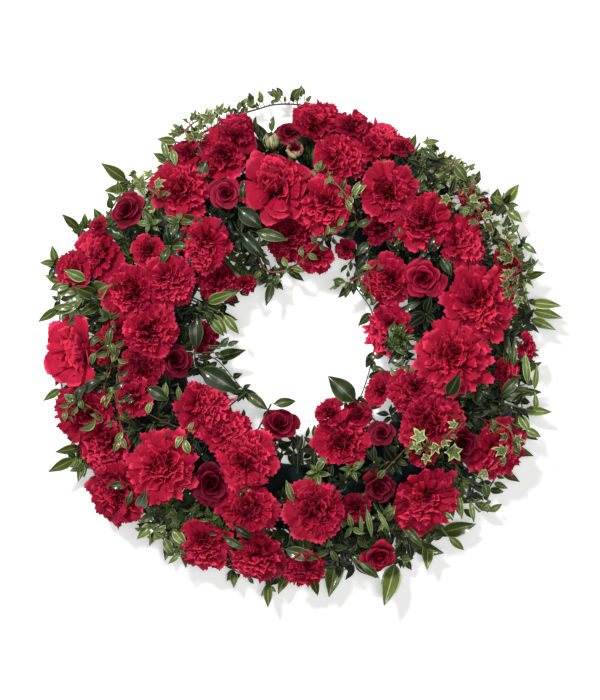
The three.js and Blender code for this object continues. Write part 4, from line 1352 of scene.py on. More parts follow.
def branch(heap, angle, way, tip_radius, tip_height, kind, rng):
    """A leafy branch out of the foam wall, at an angle round the ring; way is -1 into the hole."""
    leaves, length_share, shade = kind
    length = sizes().fill_leaf * length_share
    outward = np.array([math.cos(angle), math.sin(angle), 0.0])
    across = np.array([-math.sin(angle), math.cos(angle), 0.0])
    wall = RING_RADIUS + way * FOAM_WIDTH / 2
    drift = rng.uniform(-0.5, 0.5)
    start = outward * (wall - way * SPRAY_DEPTH) + UP * rng.uniform(10, 22) * MM
    end = outward * tip_radius + UP * tip_height + across * drift * abs(tip_radius - wall)
    bend = (start + end) / 2 + across * rng.uniform(-8, 8) * MM + UP * 4 * MM
    path = smooth([start, bend, end], 7)
    tube(heap, path, np.linspace(1.5, 0.8, len(path)) * MM, sides=5)
    for number in range(leaves):
        share = 0.3 + 0.7 * number / (leaves - 1)
        place = share * (len(path) - 1)
        low = min(int(place), len(path) - 2)
        base = path[low] + (path[low + 1] - path[low]) * (place - low)
        ahead = unit(path[low + 1] - path[low])
        side = unit(np.cross(ahead, UP)) * (1 if number % 2 else -1)
        spread = rng.uniform(0.5, 1.3) if number < leaves - 1 else 0.1
        size = length * rng.uniform(0.7, 1.2) * (1.1 - 0.35 * share)
        way_out = unit(ahead + spread * side + UP * rng.uniform(-0.1, 0.55))
        face = unit(UP + 0.35 * side + rng.uniform(-0.3, 0.3, 3))
        tint = shade + rng.uniform(-0.3, 0.45)
        width = rng.uniform(0.34, 0.46) * size
        leaf(heap, base, base + way_out * size, width, tint, face, wave=rng.uniform(0, 0.3))


def along_arcs(arcs, nearest, farthest, lowest, rng):
    """For each branch of some arcs, its degrees round the ring and how far out and how high its tip is."""
    for start, end, count, reach, top in arcs:
        for k in range(count):
            degrees = start + (end - start) * (k + 0.5 + rng.uniform(-0.35, 0.35)) / count
            radius = reach * PIXEL * rng.uniform(nearest, farthest)
            yield degrees, radius, rng.uniform(lowest, top) * MM


def foam_ring(rng):
    """The foam ring: a flat back, upright walls and a rounded top, all a little crumbly."""
    half = FOAM_WIDTH / 2
    profile = [(half, FOAM_WALL * share) for share in np.linspace(0.06, 1, 9)]
    for angle in np.linspace(0, math.pi, 34)[1:-1]:
        rise = (FOAM_HEIGHT - FOAM_WALL) * math.sin(angle)
        profile.append((half * math.cos(angle), FOAM_WALL + rise))
    profile += [(-half, FOAM_WALL * share) for share in np.linspace(1, 0.06, 9)]
    back = [(share * (half - 1.5 * MM), 0.0) for share in np.linspace(-1, 1, 13)]
    profile += back
    across, height = np.array(profile).T
    steps = 300
    crumbs = -rng.uniform(0, 1, (steps, len(profile))) ** 3 * 0.9 * MM
    middle = np.array([0.0, FOAM_WALL])
    ways = np.stack([across, height], axis=1) - middle
    ways = ways / np.linalg.norm(ways, axis=1)[:, None]
    ways[-len(back):, 1] = 0.0
    radius = RING_RADIUS + across + crumbs * ways[:, 0]
    angle = (np.arange(steps) * 2 * math.pi / steps)[:, None]
    rise = height + crumbs * ways[:, 1]
    points = np.stack([radius * np.cos(angle), radius * np.sin(angle), rise], axis=-1)
    around, along = np.meshgrid(np.arange(steps), np.arange(len(profile)), indexing="ij")
    a = around * len(profile) + along
    b = ((around + 1) % steps) * len(profile) + along
    c = ((around + 1) % steps) * len(profile) + (along + 1) % len(profile)
    d = around * len(profile) + (along + 1) % len(profile)
    faces = np.stack([a, b, c, d], axis=-1).reshape(-1, 4)
    heap = Heap()
    heap.add(points, faces, 0, (0.5, 0.5), 0.5)
    return heap


# Materials

class Nodes:
    """Adds nodes to a tree and links them."""

    def __init__(self, tree):
        self.tree = tree

    def add(self, kind, **settings):
        node = self.tree.nodes.new("ShaderNode" + kind)
        for key, value in settings.items():
            setattr(node, key, value)
        return node

    def link(self, source, target):
        self.tree.links.new(source, target)

    def ramp(self, factor, *stops):
        """A colour ramp with stops of a position and a colour or a grey."""
        node = self.add("ValToRGB")
        elements = node.color_ramp.elements
        while len(elements) < len(stops):
            elements.new(0.5)
        for element, (position, colour) in zip(elements, stops):
            element.position = position
            element.color = (*colour, 1.0) if isinstance(colour, (tuple, list)) else (colour,) * 3 + (1.0,)
        self.link(factor, node.inputs["Fac"])
        return node.outputs["Color"]

    def mix(self, factor, a, b, blend="MIX"):
        """Two colours mixed. Each input is a socket, a colour or a number."""
        node = self.add("Mix", data_type="RGBA", blend_type=blend)
        for socket, value in ((node.inputs[0], factor), (node.inputs[6], a), (node.inputs[7], b)):
            if isinstance(value, bpy.types.NodeSocket):
                self.link(value, socket)
            elif isinstance(value, (int, float)):
                socket.default_value = value
            else:
                socket.default_value = (*value, 1.0)
        return node.outputs[2]

    def times(self, a, b):
        """Two colours multiplied."""
        return self.mix(1.0, a, b, "MULTIPLY")

    def math(self, operation, a, b=0.0, clamp=False):
        node = self.add("Math", operation=operation, use_clamp=clamp)
        for socket, value in zip(node.inputs, (a, b)):
            if isinstance(value, bpy.types.NodeSocket):
                self.link(value, socket)
            else:
                socket.default_value = value
        return node.outputs[0]

    def attribute(self, name):
        return self.add("Attribute", attribute_name=name).outputs["Fac"]

    def place(self):
        """How far across and along the petal or leaf the point is."""
        node = self.add("UVMap", uv_map="Place")
        split = self.add("SeparateXYZ")
        self.link(node.outputs["UV"], split.inputs["Vector"])
        return split.outputs["X"], split.outputs["Y"]


def new_group(name, inputs, outputs):
    """A shader node group with number sockets in and out."""
    group = bpy.data.node_groups.new(name, "ShaderNodeTree")
    for label, value in inputs.items():
        socket = group.interface.new_socket(label, in_out="INPUT", socket_type="NodeSocketFloat")
        socket.default_value = value
    for label in outputs:
        group.interface.new_socket(label, in_out="OUTPUT", socket_type="NodeSocketFloat")
    nodes = Nodes(group)
    return group, nodes, nodes.tree.nodes.new("NodeGroupInput"), nodes.tree.nodes.new("NodeGroupOutput")


def petal_grain_group():
    """Fine lengthwise veins and a cloudy mottle, for petals and leaves."""
    inputs = {"Across": 0.5, "Along": 0.5, "Shift": 0.0, "Count": 24.0}
    group, nodes, source, target = new_group("Petal grain", inputs, ("Streak", "Cloud"))
    across = nodes.math("MULTIPLY", source.outputs["Across"], source.outputs["Count"])
    along = nodes.math("MULTIPLY", source.outputs["Along"], 2.2)
    shift = nodes.math("MULTIPLY", source.outputs["Shift"], 61.0)
    join = nodes.add("CombineXYZ")
    nodes.link(across, join.inputs["X"])
    nodes.link(along, join.inputs["Y"])
    nodes.link(shift, join.inputs["Z"])
    streak = nodes.add("TexNoise")
    streak.inputs["Scale"].default_value = 1.0
    streak.inputs["Detail"].default_value = 3.0
    nodes.link(join.outputs["Vector"], streak.inputs["Vector"])
    where = nodes.add("TexCoord")
    cloud = nodes.add("TexNoise")
    cloud.inputs["Scale"].default_value = 90.0
    cloud.inputs["Detail"].default_value = 2.0
    nodes.link(where.outputs["Object"], cloud.inputs["Vector"])
    nodes.link(streak.outputs["Fac"], target.inputs["Streak"])
    nodes.link(cloud.outputs["Fac"], target.inputs["Cloud"])
    return group


def grain(nodes, group, across, along, shift, count):
    """The petal grain's streak and cloud, with a number of veins across."""
    node = nodes.add("Group", node_tree=group)
    nodes.link(across, node.inputs["Across"])
    nodes.link(along, node.inputs["Along"])
    nodes.link(shift, node.inputs["Shift"])
    node.inputs["Count"].default_value = count
    return node.outputs["Streak"], node.outputs["Cloud"]


def new_material(name):
    material = bpy.data.materials.new(name)
    material.use_nodes = True
    nodes = Nodes(material.node_tree)
    shader = material.node_tree.nodes["Principled BSDF"]
    return material, nodes, shader


def bump(nodes, shader, height, strength, distance):
    node = nodes.add("Bump")
    node.inputs["Strength"].default_value = strength
    node.inputs["Distance"].default_value = distance
    nodes.link(height, node.inputs["Height"])
    nodes.link(node.outputs["Normal"], shader.inputs["Normal"])


def petal_material(name, group, throat_shade, mid, edge):
    """Soft petals: painted shade in the throat and low between the crumpled petals, a paler edge that is
    partly a painted highlight, and each flower a little paler or darker.
    """
    material, nodes, shader = new_material(name)
    across, along = nodes.place()
    tint = nodes.attribute("tint")
    streak, cloud = grain(nodes, group, across, along, tint, 26.0)
    rise = nodes.math("ADD", along, nodes.math("MULTIPLY", nodes.math("SUBTRACT", streak, 0.5), 0.12))
    # Painted shade: the throat colour darkens the foot of each petal, and the depth mask below darkens the
    # low parts of crumpled and rose petals, where they shade each other.
    base = nodes.ramp(rise, (0.12, throat_shade), (0.58, mid), (0.88, mid), (0.96, edge))
    sunk_shade = nodes.ramp(nodes.attribute("vein_and_shade_mask"), (0.42, 0.0), (0.88, 1.0))
    base = nodes.mix(sunk_shade, throat_shade, base)
    # dark is a darker copy of the petal colour; the tint mixes each flower toward it, partly for its own
    # tone and partly as painted shade for heads that sit low.
    dark = nodes.times(base, (0.42, 0.34, 0.5))
    # The edge colour, partly the petals' own paler rim and partly a painted highlight, brightens the top of
    # the ramp and the paler mix.
    pale = nodes.mix(0.14, base, edge)
    shaded = nodes.mix(tint, dark, pale)
    mottle = nodes.ramp(cloud, (0.25, 0.72), (0.75, 1.12))
    colour = nodes.times(shaded, mottle)
    nodes.link(colour, shader.inputs["Base Color"])
    rough = nodes.ramp(streak, (0.2, 0.5), (0.8, 0.72))
    nodes.link(rough, shader.inputs["Roughness"])
    shader.inputs["Specular IOR Level"].default_value = 0.08
    shader.inputs["Sheen Weight"].default_value = 0.02
    shader.inputs["Sheen Roughness"].default_value = 0.5
    shader.inputs["Sheen Tint"].default_value = (*edge, 1.0)
    bump(nodes, shader, streak, 0.35, 0.0006)
    return material


def bud_material(group, cream, red, green):
    """Bud petals: cream with green stripes while closed, and a red rim where the bud has opened."""
    material, nodes, shader = new_material("bud_petals")
    across, along = nodes.place()
    tint = nodes.attribute("tint")
    streak, _ = grain(nodes, group, across, along, tint, 9.0)
    closed = nodes.mix(nodes.ramp(streak, (0.42, 0.0), (0.56, 0.92)), cream, green)
    opened = nodes.ramp(along, (0.1, green), (0.4, cream), (0.93, cream), (1.0, red))
    colour = nodes.mix(tint, closed, opened)
    nodes.link(colour, shader.inputs["Base Color"])
    shader.inputs["Roughness"].default_value = 0.5
    bump(nodes, shader, streak, 0.3, 0.0004)
    return material


def leaf_material(name, group, dark, light, back, gloss, coat):
    """Waxy leaves with a pale midrib, a pale rim that is partly a painted highlight, side veins and a dull
    underside.
    """
    vein_and_highlight_colour = (0.5, 0.6, 0.28)
    material, nodes, shader = new_material(name)
    across, along = nodes.place()
    tint = nodes.attribute("tint")
    vein_and_shade_mask = nodes.attribute("vein_and_shade_mask")
    streak, cloud = grain(nodes, group, across, along, tint, 5.0)
    body = nodes.mix(tint, dark, light)
    body = nodes.times(body, nodes.ramp(cloud, (0.25, 0.7), (0.75, 1.25)))
    off = nodes.math("ABSOLUTE", nodes.math("SUBTRACT", across, 0.5))
    slant = nodes.math("ADD", nodes.math("MULTIPLY", along, 9.0), nodes.math("MULTIPLY", off, -7.0))
    ripple = nodes.math("PINGPONG", slant, 0.5)
    side_vein = nodes.ramp(ripple, (0.0, 1.0), (0.1, 0.0))
    midrib = nodes.ramp(vein_and_shade_mask, (0.88, 0.0), (0.97, 0.75))
    lines = nodes.math("MAXIMUM", midrib, nodes.math("MULTIPLY", side_vein, 0.22))
    # The pale rim is partly the leaf's own pale margin and partly a painted highlight; it is wider on paler
    # leaves.
    rim_highlight_at = nodes.math("SUBTRACT", vein_and_shade_mask, nodes.math("MULTIPLY", tint, 0.12))
    rim = nodes.ramp(rim_highlight_at, (0.03, 0.9), (0.14, 0.0))
    lines = nodes.math("MAXIMUM", lines, rim)
    strength = nodes.math("ADD", 0.3, nodes.math("MULTIPLY", tint, 0.5), clamp=True)
    # line is the colour of the veins and the rim, which on the palest leaves is a near-white painted
    # highlight.
    line = nodes.mix(tint, nodes.mix(0.5, light, vein_and_highlight_colour), (0.6, 0.7, 0.42))
    body = nodes.mix(nodes.math("MULTIPLY", lines, strength), body, line)
    facing = nodes.add("NewGeometry").outputs["Backfacing"]
    colour = nodes.mix(facing, body, back)
    nodes.link(colour, shader.inputs["Base Color"])
    rough = nodes.ramp(cloud, (0.3, gloss), (0.8, gloss + 0.16))
    nodes.link(rough, shader.inputs["Roughness"])
    shader.inputs["Specular IOR Level"].default_value = 0.2
    shader.inputs["Coat Weight"].default_value = coat
    shader.inputs["Coat Roughness"].default_value = 0.14
    bump(nodes, shader, nodes.math("ADD", lines, nodes.math("MULTIPLY", streak, 0.4)), 0.4, 0.0006)
    return material


def ivy_material(group, green, margin):
    """Ivy with an uneven cream margin and pale veins."""
    material, nodes, shader = new_material("ivy_leaves")
    across, along = nodes.place()
    tint = nodes.attribute("tint")
    vein_and_shade_mask = nodes.attribute("vein_and_shade_mask")
    streak, cloud = grain(nodes, group, across, along, tint, 9.0)
    body = nodes.mix(tint, green, nodes.mix(0.22, green, margin))
    body = nodes.times(body, nodes.ramp(cloud, (0.25, 0.65), (0.75, 1.3)))
    edge = nodes.math("ADD", along, nodes.math("MULTIPLY", nodes.math("SUBTRACT", streak, 0.5), 0.5))
    cream = nodes.ramp(edge, (0.74, 0.0), (0.9, 1.0))
    lines = nodes.ramp(vein_and_shade_mask, (0.8, 0.0), (0.95, 1.0))
    body = nodes.mix(nodes.math("MULTIPLY", lines, 0.55), body, margin)
    pale = nodes.math("MULTIPLY", cream, nodes.math("ADD", tint, 0.3, clamp=True))
    colour = nodes.mix(pale, body, margin)
    nodes.link(colour, shader.inputs["Base Color"])
    shader.inputs["Roughness"].default_value = 0.42
    shader.inputs["Specular IOR Level"].default_value = 0.25
    shader.inputs["Coat Weight"].default_value = 0.1
    shader.inputs["Coat Roughness"].default_value = 0.3
    bump(nodes, shader, lines, 0.3, 0.0005)
    return material


def stem_material(name, group, dark, light):
    """Stems, streaked along their length."""
    material, nodes, shader = new_material(name)
    across, along = nodes.place()
    streak, cloud = grain(nodes, group, across, along, nodes.attribute("tint"), 8.0)
    colour = nodes.mix(nodes.ramp(streak, (0.3, 0.0), (0.7, 1.0)), dark, light)
    colour = nodes.times(colour, nodes.ramp(cloud, (0.2, 0.75), (0.8, 1.2)))
    nodes.link(colour, shader.inputs["Base Color"])
    shader.inputs["Roughness"].default_value = 0.5
    bump(nodes, shader, streak, 0.3, 0.0004)
    return material


def foam_material(colour):
    """Crumbly floral foam: fine open cells, darker where it is wet."""
    material, nodes, shader = new_material("wet_foam")
    where = nodes.add("TexCoord").outputs["Object"]
    cells = nodes.add("TexVoronoi")
    cells.inputs["Scale"].default_value = 900.0
    nodes.link(where, cells.inputs["Vector"])
    damp = nodes.add("TexNoise")
    damp.inputs["Scale"].default_value = 22.0
    damp.inputs["Detail"].default_value = 4.0
    nodes.link(where, damp.inputs["Vector"])
    shade = nodes.ramp(damp.outputs["Fac"], (0.35, 0.55), (0.7, 1.25))
    # colour is near black, partly painted shade for the gaps between the flowers.
    base = nodes.times(colour, shade)
    pits = nodes.ramp(cells.outputs["Distance"], (0.1, 0.55), (0.6, 1.15))
    nodes.link(nodes.times(base, pits), shader.inputs["Base Color"])
    nodes.link(nodes.ramp(damp.outputs["Fac"], (0.3, 0.6), (0.7, 0.95)), shader.inputs["Roughness"])
    shader.inputs["Specular IOR Level"].default_value = 0.12
    bump(nodes, shader, cells.outputs["Distance"], 0.5, 0.0008)
    return material


def table_material():
    """A plain pale table, lit a little from within, more so beyond the lamps' reach."""
    material, nodes, shader = new_material("pale_table")
    shader.inputs["Base Color"].default_value = (0.93, 0.93, 0.93, 1.0)
    shader.inputs["Roughness"].default_value = 0.7
    away = nodes.add("VectorMath", operation="LENGTH")
    nodes.link(nodes.add("TexCoord").outputs["Object"], away.inputs["Vector"])
    share = nodes.math("MULTIPLY", away.outputs["Value"], 1 / TABLE_REACH)
    nodes.link(nodes.ramp(share, (0.1, 0.37), (0.6, 0.9)), shader.inputs["Emission Color"])
    shader.inputs["Emission Strength"].default_value = 1.0
    return material


def room(scene):
    """A soft white room, brighter to look at than it is as a light."""
    world = bpy.data.worlds.new("soft_room")
    world.use_nodes = True
    nodes = Nodes(world.node_tree)
    background = world.node_tree.nodes["Background"]
    background.inputs["Color"].default_value = (1.0, 1.0, 1.0, 1.0)
    seen = nodes.add("LightPath").outputs["Is Camera Ray"]
    nodes.link(nodes.math("ADD", nodes.math("MULTIPLY", seen, 0.82), 0.09), background.inputs["Strength"])
    scene.world = world


# Settings

def colour_setting(name, description, colour):
    return FloatVectorProperty(
        name=name, description=description, default=colour, subtype="COLOR", min=0.0, max=1.0, size=3
    )


class WreathColours(PropertyGroup):
    """The colours of the wreath's flowers and greenery."""

    # Painted shade: the carnation throat and rose heart colours stand for the shade between the petals.
    carnation_throat_shade: colour_setting(
        "Carnation throat", "Carnation colour between the petals", (0.03, 0.0, 0.003)
    )
    carnation_mid: colour_setting("Carnation", "Carnation petal colour", (0.41, 0.003, 0.03))
    # The edge colours are partly the petals' own paler rims and partly painted highlight.
    carnation_edge_and_highlight: colour_setting(
        "Carnation edge", "Colour of the carnation petals' edges", (0.95, 0.05, 0.13)
    )
    # Painted shade, as the carnation throat colour above.
    rose_heart_shade: colour_setting("Rose heart", "Rose colour between the petals", (0.05, 0.0, 0.006))
    rose_mid: colour_setting("Rose", "Rose petal colour", (0.16, 0.001, 0.014))
    # Partly the rims' own colour and partly painted highlight.
    rose_rim_and_highlight: colour_setting("Rose edge", "Colour of the rose petals' rolled rims", (0.55, 0.015, 0.06))
    bud_cream: colour_setting("Bud", "Colour of the opening buds", (0.6, 0.55, 0.3))
    leaf_dark: colour_setting("Dark leaf", "Colour of the darkest leaves", (0.005, 0.013, 0.004))
    leaf_light: colour_setting("Light leaf", "Colour of the palest leaves", (0.12, 0.165, 0.022))
    leaf_back: colour_setting("Leaf back", "Colour of the undersides", (0.07, 0.11, 0.04))
    ivy_green: colour_setting("Ivy", "Colour of the ivy leaves", (0.018, 0.038, 0.003))
    ivy_margin: colour_setting("Ivy margin", "Colour of the ivy leaves' pale edges", (0.5, 0.58, 0.22))
    stem_green: colour_setting("Stem", "Colour of the green stems", (0.07, 0.12, 0.035))
    vine_brown: colour_setting("Vine", "Colour of the woody vine and ivy stems", (0.26, 0.09, 0.045))
    # The foam colour is near black: partly the wet foam's own dark green and partly painted shade for the
    # gaps between the flowers.
    foam_green_and_gap_shade: colour_setting("Foam", "Colour of the floral foam", (0.004, 0.011, 0.011))


class WreathSizes(PropertyGroup):
    """The sizes of the wreath's finer forms."""

    fullness: FloatProperty(
        name="Ruffle", description="How strongly the carnations' petals are ruffled",
        default=1.0, min=0.2, max=2.0, subtype="FACTOR",
    )
    fill_sprigs: IntProperty(
        name="Fill sprigs", description="Sprigs of dark leaves between the flowers",
        default=84, min=0, max=300,
    )
    fill_leaf: FloatProperty(
        name="Fill leaf", description="Length of the leaves between the flowers",
        default=28 * MM, min=5 * MM, max=60 * MM, unit="LENGTH",
    )


def colours():
    return bpy.context.scene.wreath_colours


def sizes():
    return bpy.context.scene.wreath_sizes


MADE = {}


def finishes():
    """Every material, made once."""
    if MADE:
        return MADE
    look = colours()
    group = petal_grain_group()
    crimson = (look.carnation_throat_shade[:], look.carnation_mid[:], look.carnation_edge_and_highlight[:])
    MADE["carnation"] = petal_material("carnation_petals", group, *crimson)
    wine = (look.rose_heart_shade[:], look.rose_mid[:], look.rose_rim_and_highlight[:])
    MADE["rose"] = petal_material("rose_petals", group, *wine)
    MADE["bud"] = bud_material(group, look.bud_cream[:], look.rose_rim_and_highlight[:], look.stem_green[:])
    green = (look.leaf_dark[:], look.leaf_light[:], look.leaf_back[:])
    MADE["leaf"] = leaf_material("spray_leaves", group, *green, gloss=0.34, coat=0.24)
    # Painted shade: the leaves between the flowers are a darker copy of the spray leaves, for the shade they
    # sit in.
    shaded = [tuple(0.24 * part for part in colour) for colour in green]
    MADE["shade leaf"] = leaf_material("shaded_leaves", group, *shaded, gloss=0.5, coat=0.06)
    MADE["ivy"] = ivy_material(group, look.ivy_green[:], look.ivy_margin[:])
    dark_stem = tuple(0.55 * part for part in look.stem_green)
    MADE["stem"] = stem_material("green_stem", group, dark_stem, look.stem_green[:])
    dark_vine = tuple(0.5 * part for part in look.vine_brown)
    MADE["vine"] = stem_material("woody_stem", group, dark_vine, look.vine_brown[:])
    twig = [tuple(share * part for part in look.vine_brown) for share in (0.12, 0.4)]
    MADE["twig"] = stem_material("dark_twig", group, *twig)
    MADE["foam"] = foam_material(look.foam_green_and_gap_shade[:])
    return MADE


# Operators

def make_flowers(group, petals):
    """Makes a piece for each stem of a group; one that has a solid replaces it."""
    made = finishes()
    for name in group:
        heads = STEMS[name]
        seed = int(heads[0].across * 1000 + heads[0].down)
        heap = flower(name, heads, seed, sizes().fullness)
        piece = heap.make(name + "_petals", [made[petals], made["stem"], made["bud"]])
        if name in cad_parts:
            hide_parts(name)


def make_leaves(heap, name, finish="leaf"):
    """Makes a piece of leaves on green stems that has no solid of its own."""
    piece = heap.make(name, [finishes()[finish], finishes()["stem"]])


class WREATH_OT_carnations(Operator):
    """Make the carnations and their side shoots"""

    bl_idname = "wreath.carnations"
    bl_label = "Carnations"

    def execute(self, context):
        make_flowers(CARNATIONS, "carnation")
        return {"FINISHED"}


class WREATH_OT_roses(Operator):
    """Make the roses and the budding rose"""

    bl_idname = "wreath.roses"
    bl_label = "Roses"

    def execute(self, context):
        make_flowers(ROSES, "rose")
        make_flowers(BUDDING, "rose")
        return {"FINISHED"}


class WREATH_OT_fill_flowers(Operator):
    """Make the small flowers that fill gaps"""

    bl_idname = "wreath.fill_flowers"
    bl_label = "Fill Flowers"

    def execute(self, context):
        for name in FILL_FLOWERS:
            make_flowers([name], "rose" if name.startswith("rose") else "carnation")
        return {"FINISHED"}


class WREATH_OT_leaf_sprays(Operator):
    """Make the leafy sprays round the outside and in the middle"""

    bl_idname = "wreath.leaf_sprays"
    bl_label = "Leaf Sprays"

    def execute(self, context):
        made = finishes()
        for number, (name, (slender, leaves)) in enumerate(SPRAYS.items()):
            pale = 0.2 if "inner" in name else 0.85
            pale = 1.1 if "right" in name and "inner" not in name else pale
            small = 3 if "right" in name else 5
            rng = np.random.default_rng(SPRAY_SEED + number)
            heap = spray(Heap(), slender, leaves, rng, small, pale)
            piece = heap.make(name + "_leaves", [made["leaf"], made["stem"]])
            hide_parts(name)
        return {"FINISHED"}


class WREATH_OT_vine(Operator):
    """Make the vine that twines along the top"""

    bl_idname = "wreath.vine"
    bl_label = "Twining Vine"

    def execute(self, context):
        made = finishes()
        for name, (slender, leaves) in VINE.items():
            rng = np.random.default_rng(VINE_SEED)
            heap = spray(Heap(), slender, leaves, rng, small=5, pale=0.75, size_share=0.6)
            piece = heap.make(name + "_leaves", [made["leaf"], made["twig"]])
            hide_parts(name)
        return {"FINISHED"}


class WREATH_OT_fill_leaves(Operator):
    """Make the sprigs of leaves between the flowers, darkened with painted shade"""

    bl_idname = "wreath.fill_leaves"
    bl_label = "Fill Leaves"

    def execute(self, context):
        rng = np.random.default_rng(FILL_SEED)
        heaps = [Heap() for _ in range(FILL_PIECES)]
        for across, down, room in gaps():
            head = stand(across, down, -2.0)
            angle = math.atan2(MIDDLE_Y - down, across - MIDDLE_X) % (2 * math.pi)
            length = min(sizes().fill_leaf, (room + 9) * PIXEL)
            heap = heaps[int(angle / math.pi * FILL_PIECES / 2) % FILL_PIECES]
            sprig(heap, head, length, 6, rng, -0.05)
        for number, heap in enumerate(heaps):
            make_leaves(heap, f"fill_leaves_{number + 1}", "shade leaf")
        return {"FINISHED"}


class WREATH_OT_among_leaves(Operator):
    """Make the whorls, rosettes and single leaves that show among the flowers"""

    bl_idname = "wreath.among_leaves"
    bl_label = "Leaves Among Flowers"

    def execute(self, context):
        rng = np.random.default_rng(AMONG_SEED)
        whorls = Heap()
        for across, down, length, leaves, pale, lift in WHORLS:
            head = stand(across, down, lift)
            sprig(whorls, head, length * PIXEL, leaves, rng, pale, open_up=0.3, bow=0.2)
        for across, down, length, leaves, pale, lift in ROSETTES:
            rosette(whorls, stand(across, down, lift), length * PIXEL, leaves, rng, pale)
        make_leaves(whorls, "leaf_whorls")
        singles = Heap()
        for leaf_place in SINGLE_LEAVES:
            single_leaf(singles, leaf_place, rng)
        make_leaves(singles, "single_leaves")
        return {"FINISHED"}


class WREATH_OT_ivy(Operator):
    """Make the ivy trails over the flowers"""

    bl_idname = "wreath.ivy"
    bl_label = "Ivy"

    def execute(self, context):
        made = finishes()
        for number, (name, (path, leaves)) in enumerate(IVY.items()):
            heap = Heap()
            rng = np.random.default_rng(IVY_SEED + number)
            trail(heap, path, leaves, rng, YOUNG_LEAVES.get(name, 2), NARROW_LEAVES.get(name, 0.5))
            piece = heap.make(name, [made["ivy"], made["vine"], made["leaf"]])
        return {"FINISHED"}


class WREATH_OT_edge_leaves(Operator):
    """Make the leafy branches round the outer edge and into the hole"""

    bl_idname = "wreath.edge_leaves"
    bl_label = "Edge Leaves"

    def execute(self, context):
        rng = np.random.default_rng(EDGE_SEED)
        outer = [Heap() for _ in range(OUTER_PIECES)]
        for degrees, radius, height in along_arcs(EDGE_ARCS, 0.9, 1.0, 15, rng):
            heap = outer[int(degrees % 360 / (360 / OUTER_PIECES))]
            branch(heap, math.radians(degrees), 1, radius, height, OUTER_BRANCH, rng)
        inner = Heap()
        for degrees, radius, height in along_arcs(INNER_ARCS, 1.0, 1.16, 20, rng):
            branch(inner, math.radians(degrees), -1, radius, height, HOLE_BRANCH, rng)
        low = [Heap() for _ in range(LOW_PIECES)]
        for k in range(LOW_BRANCHES):
            angle = 2 * math.pi * (k + rng.uniform(-0.4, 0.4)) / LOW_BRANCHES
            radius = rng.uniform(232, 256) * MM
            height = rng.uniform(16, 30) * MM
            branch(low[k * LOW_PIECES // LOW_BRANCHES], angle, 1, radius, height, LOW_BRANCH, rng)
        for number, heap in enumerate([*outer, inner, *low]):
            make_leaves(heap, f"edge_leaves_{number + 1}")
        return {"FINISHED"}


class WREATH_OT_foam(Operator):
    """Make the crumbly foam ring"""

    bl_idname = "wreath.foam"
    bl_label = "Foam"

    def execute(self, context):
        heap = foam_ring(np.random.default_rng(FOAM_SEED))
        piece = heap.make("foam_ring_crumbly", [finishes()["foam"]])
        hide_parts("foam_ring")
        return {"FINISHED"}


def soft_light(name, place, size, power):
    """A square lamp that shines on the wreath."""
    light = bpy.data.lights.new(name, "AREA")
    light.shape = "SQUARE"
    light.size = size
    light.energy = power
    lamp = bpy.data.objects.new(name, light)
    lamp.location = place
    lamp.rotation_mode = "QUATERNION"
    lamp.rotation_quaternion = (Vector(LAMP_AIM) - Vector(place)).to_track_quat("-Z", "Y")
    bpy.context.scene.collection.objects.link(lamp)


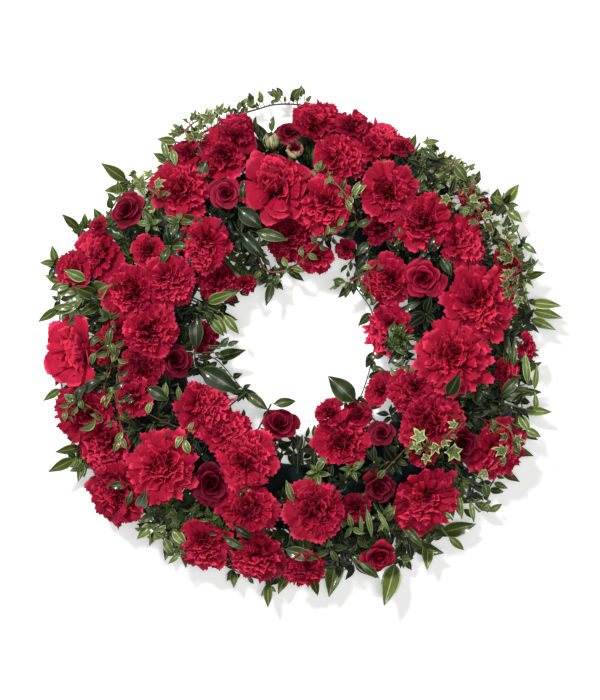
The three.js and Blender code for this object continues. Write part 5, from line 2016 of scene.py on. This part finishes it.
class WREATH_OT_stage(Operator):
    """Make the pale table, the light and the camera"""

    bl_idname = "wreath.stage"
    bl_label = "Table, Light and Camera"

    def execute(self, context):
        scene = context.scene
        mesh = bpy.data.meshes.new("table")
        corners = [(x * TABLE_REACH, y * TABLE_REACH) for x, y in ((-1, -1), (1, -1), (1, 1), (-1, 1))]
        mesh.from_pydata([(x, y, -TABLE_DROP) for x, y in corners], [], [(0, 1, 2, 3)])
        mesh.materials.append(table_material())
        table = bpy.data.objects.new("table", mesh)
        scene.collection.objects.link(table)
        for name, lamp in LAMPS.items():
            soft_light(name, *lamp)
        room(scene)
        scene.view_settings.view_transform = "Standard"
        camera = bpy.data.cameras.new("camera")
        camera.sensor_width = SENSOR
        camera.lens = SENSOR * (EYE_HEIGHT - FACE_HEIGHT) / (PIXEL * FRAME_DOWN)
        camera.clip_start = 0.05
        camera.clip_end = 20.0
        eye = bpy.data.objects.new("camera", camera)
        lower = (FRAME_DOWN / 2 - MIDDLE_Y) * PIXEL
        eye.location = (RING_MIDDLE[0], RING_MIDDLE[1] - lower, EYE_HEIGHT)
        scene.collection.objects.link(eye)
        scene.camera = eye
        return {"FINISHED"}


class WREATH_PT_panel(Panel):
    """Lists the wreath's pieces in the sidebar"""

    bl_label = "Funeral Wreath"
    bl_idname = "WREATH_PT_panel"
    bl_space_type = "VIEW_3D"
    bl_region_type = "UI"
    bl_category = "Wreath"

    def draw(self, context):
        for settings in (context.scene.wreath_sizes, context.scene.wreath_colours):
            for name in settings.bl_rna.properties.keys():
                if name not in ("rna_type", "name"):
                    self.layout.prop(settings, name)
        for operator in OPERATORS:
            self.layout.operator(operator.bl_idname)


OPERATORS = (
    WREATH_OT_stage,
    WREATH_OT_foam,
    WREATH_OT_carnations,
    WREATH_OT_roses,
    WREATH_OT_fill_flowers,
    WREATH_OT_leaf_sprays,
    WREATH_OT_vine,
    WREATH_OT_fill_leaves,
    WREATH_OT_edge_leaves,
    WREATH_OT_among_leaves,
    WREATH_OT_ivy,
)
CLASSES = (WreathColours, WreathSizes, *OPERATORS, WREATH_PT_panel)


def register():
    for item in CLASSES:
        bpy.utils.register_class(item)
    bpy.types.Scene.wreath_colours = PointerProperty(type=WreathColours)
    bpy.types.Scene.wreath_sizes = PointerProperty(type=WreathSizes)


def unregister():
    del bpy.types.Scene.wreath_sizes
    del bpy.types.Scene.wreath_colours
    for item in reversed(CLASSES):
        bpy.utils.unregister_class(item)


def main():
    register()
    bpy.ops.wreath.stage()
    bpy.ops.wreath.foam()
    bpy.ops.wreath.carnations()
    bpy.ops.wreath.roses()
    bpy.ops.wreath.fill_flowers()
    bpy.ops.wreath.leaf_sprays()
    bpy.ops.wreath.vine()
    bpy.ops.wreath.fill_leaves()
    bpy.ops.wreath.edge_leaves()
    bpy.ops.wreath.among_leaves()
    bpy.ops.wreath.ivy()
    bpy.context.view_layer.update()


if __name__ == "__main__":
    main()
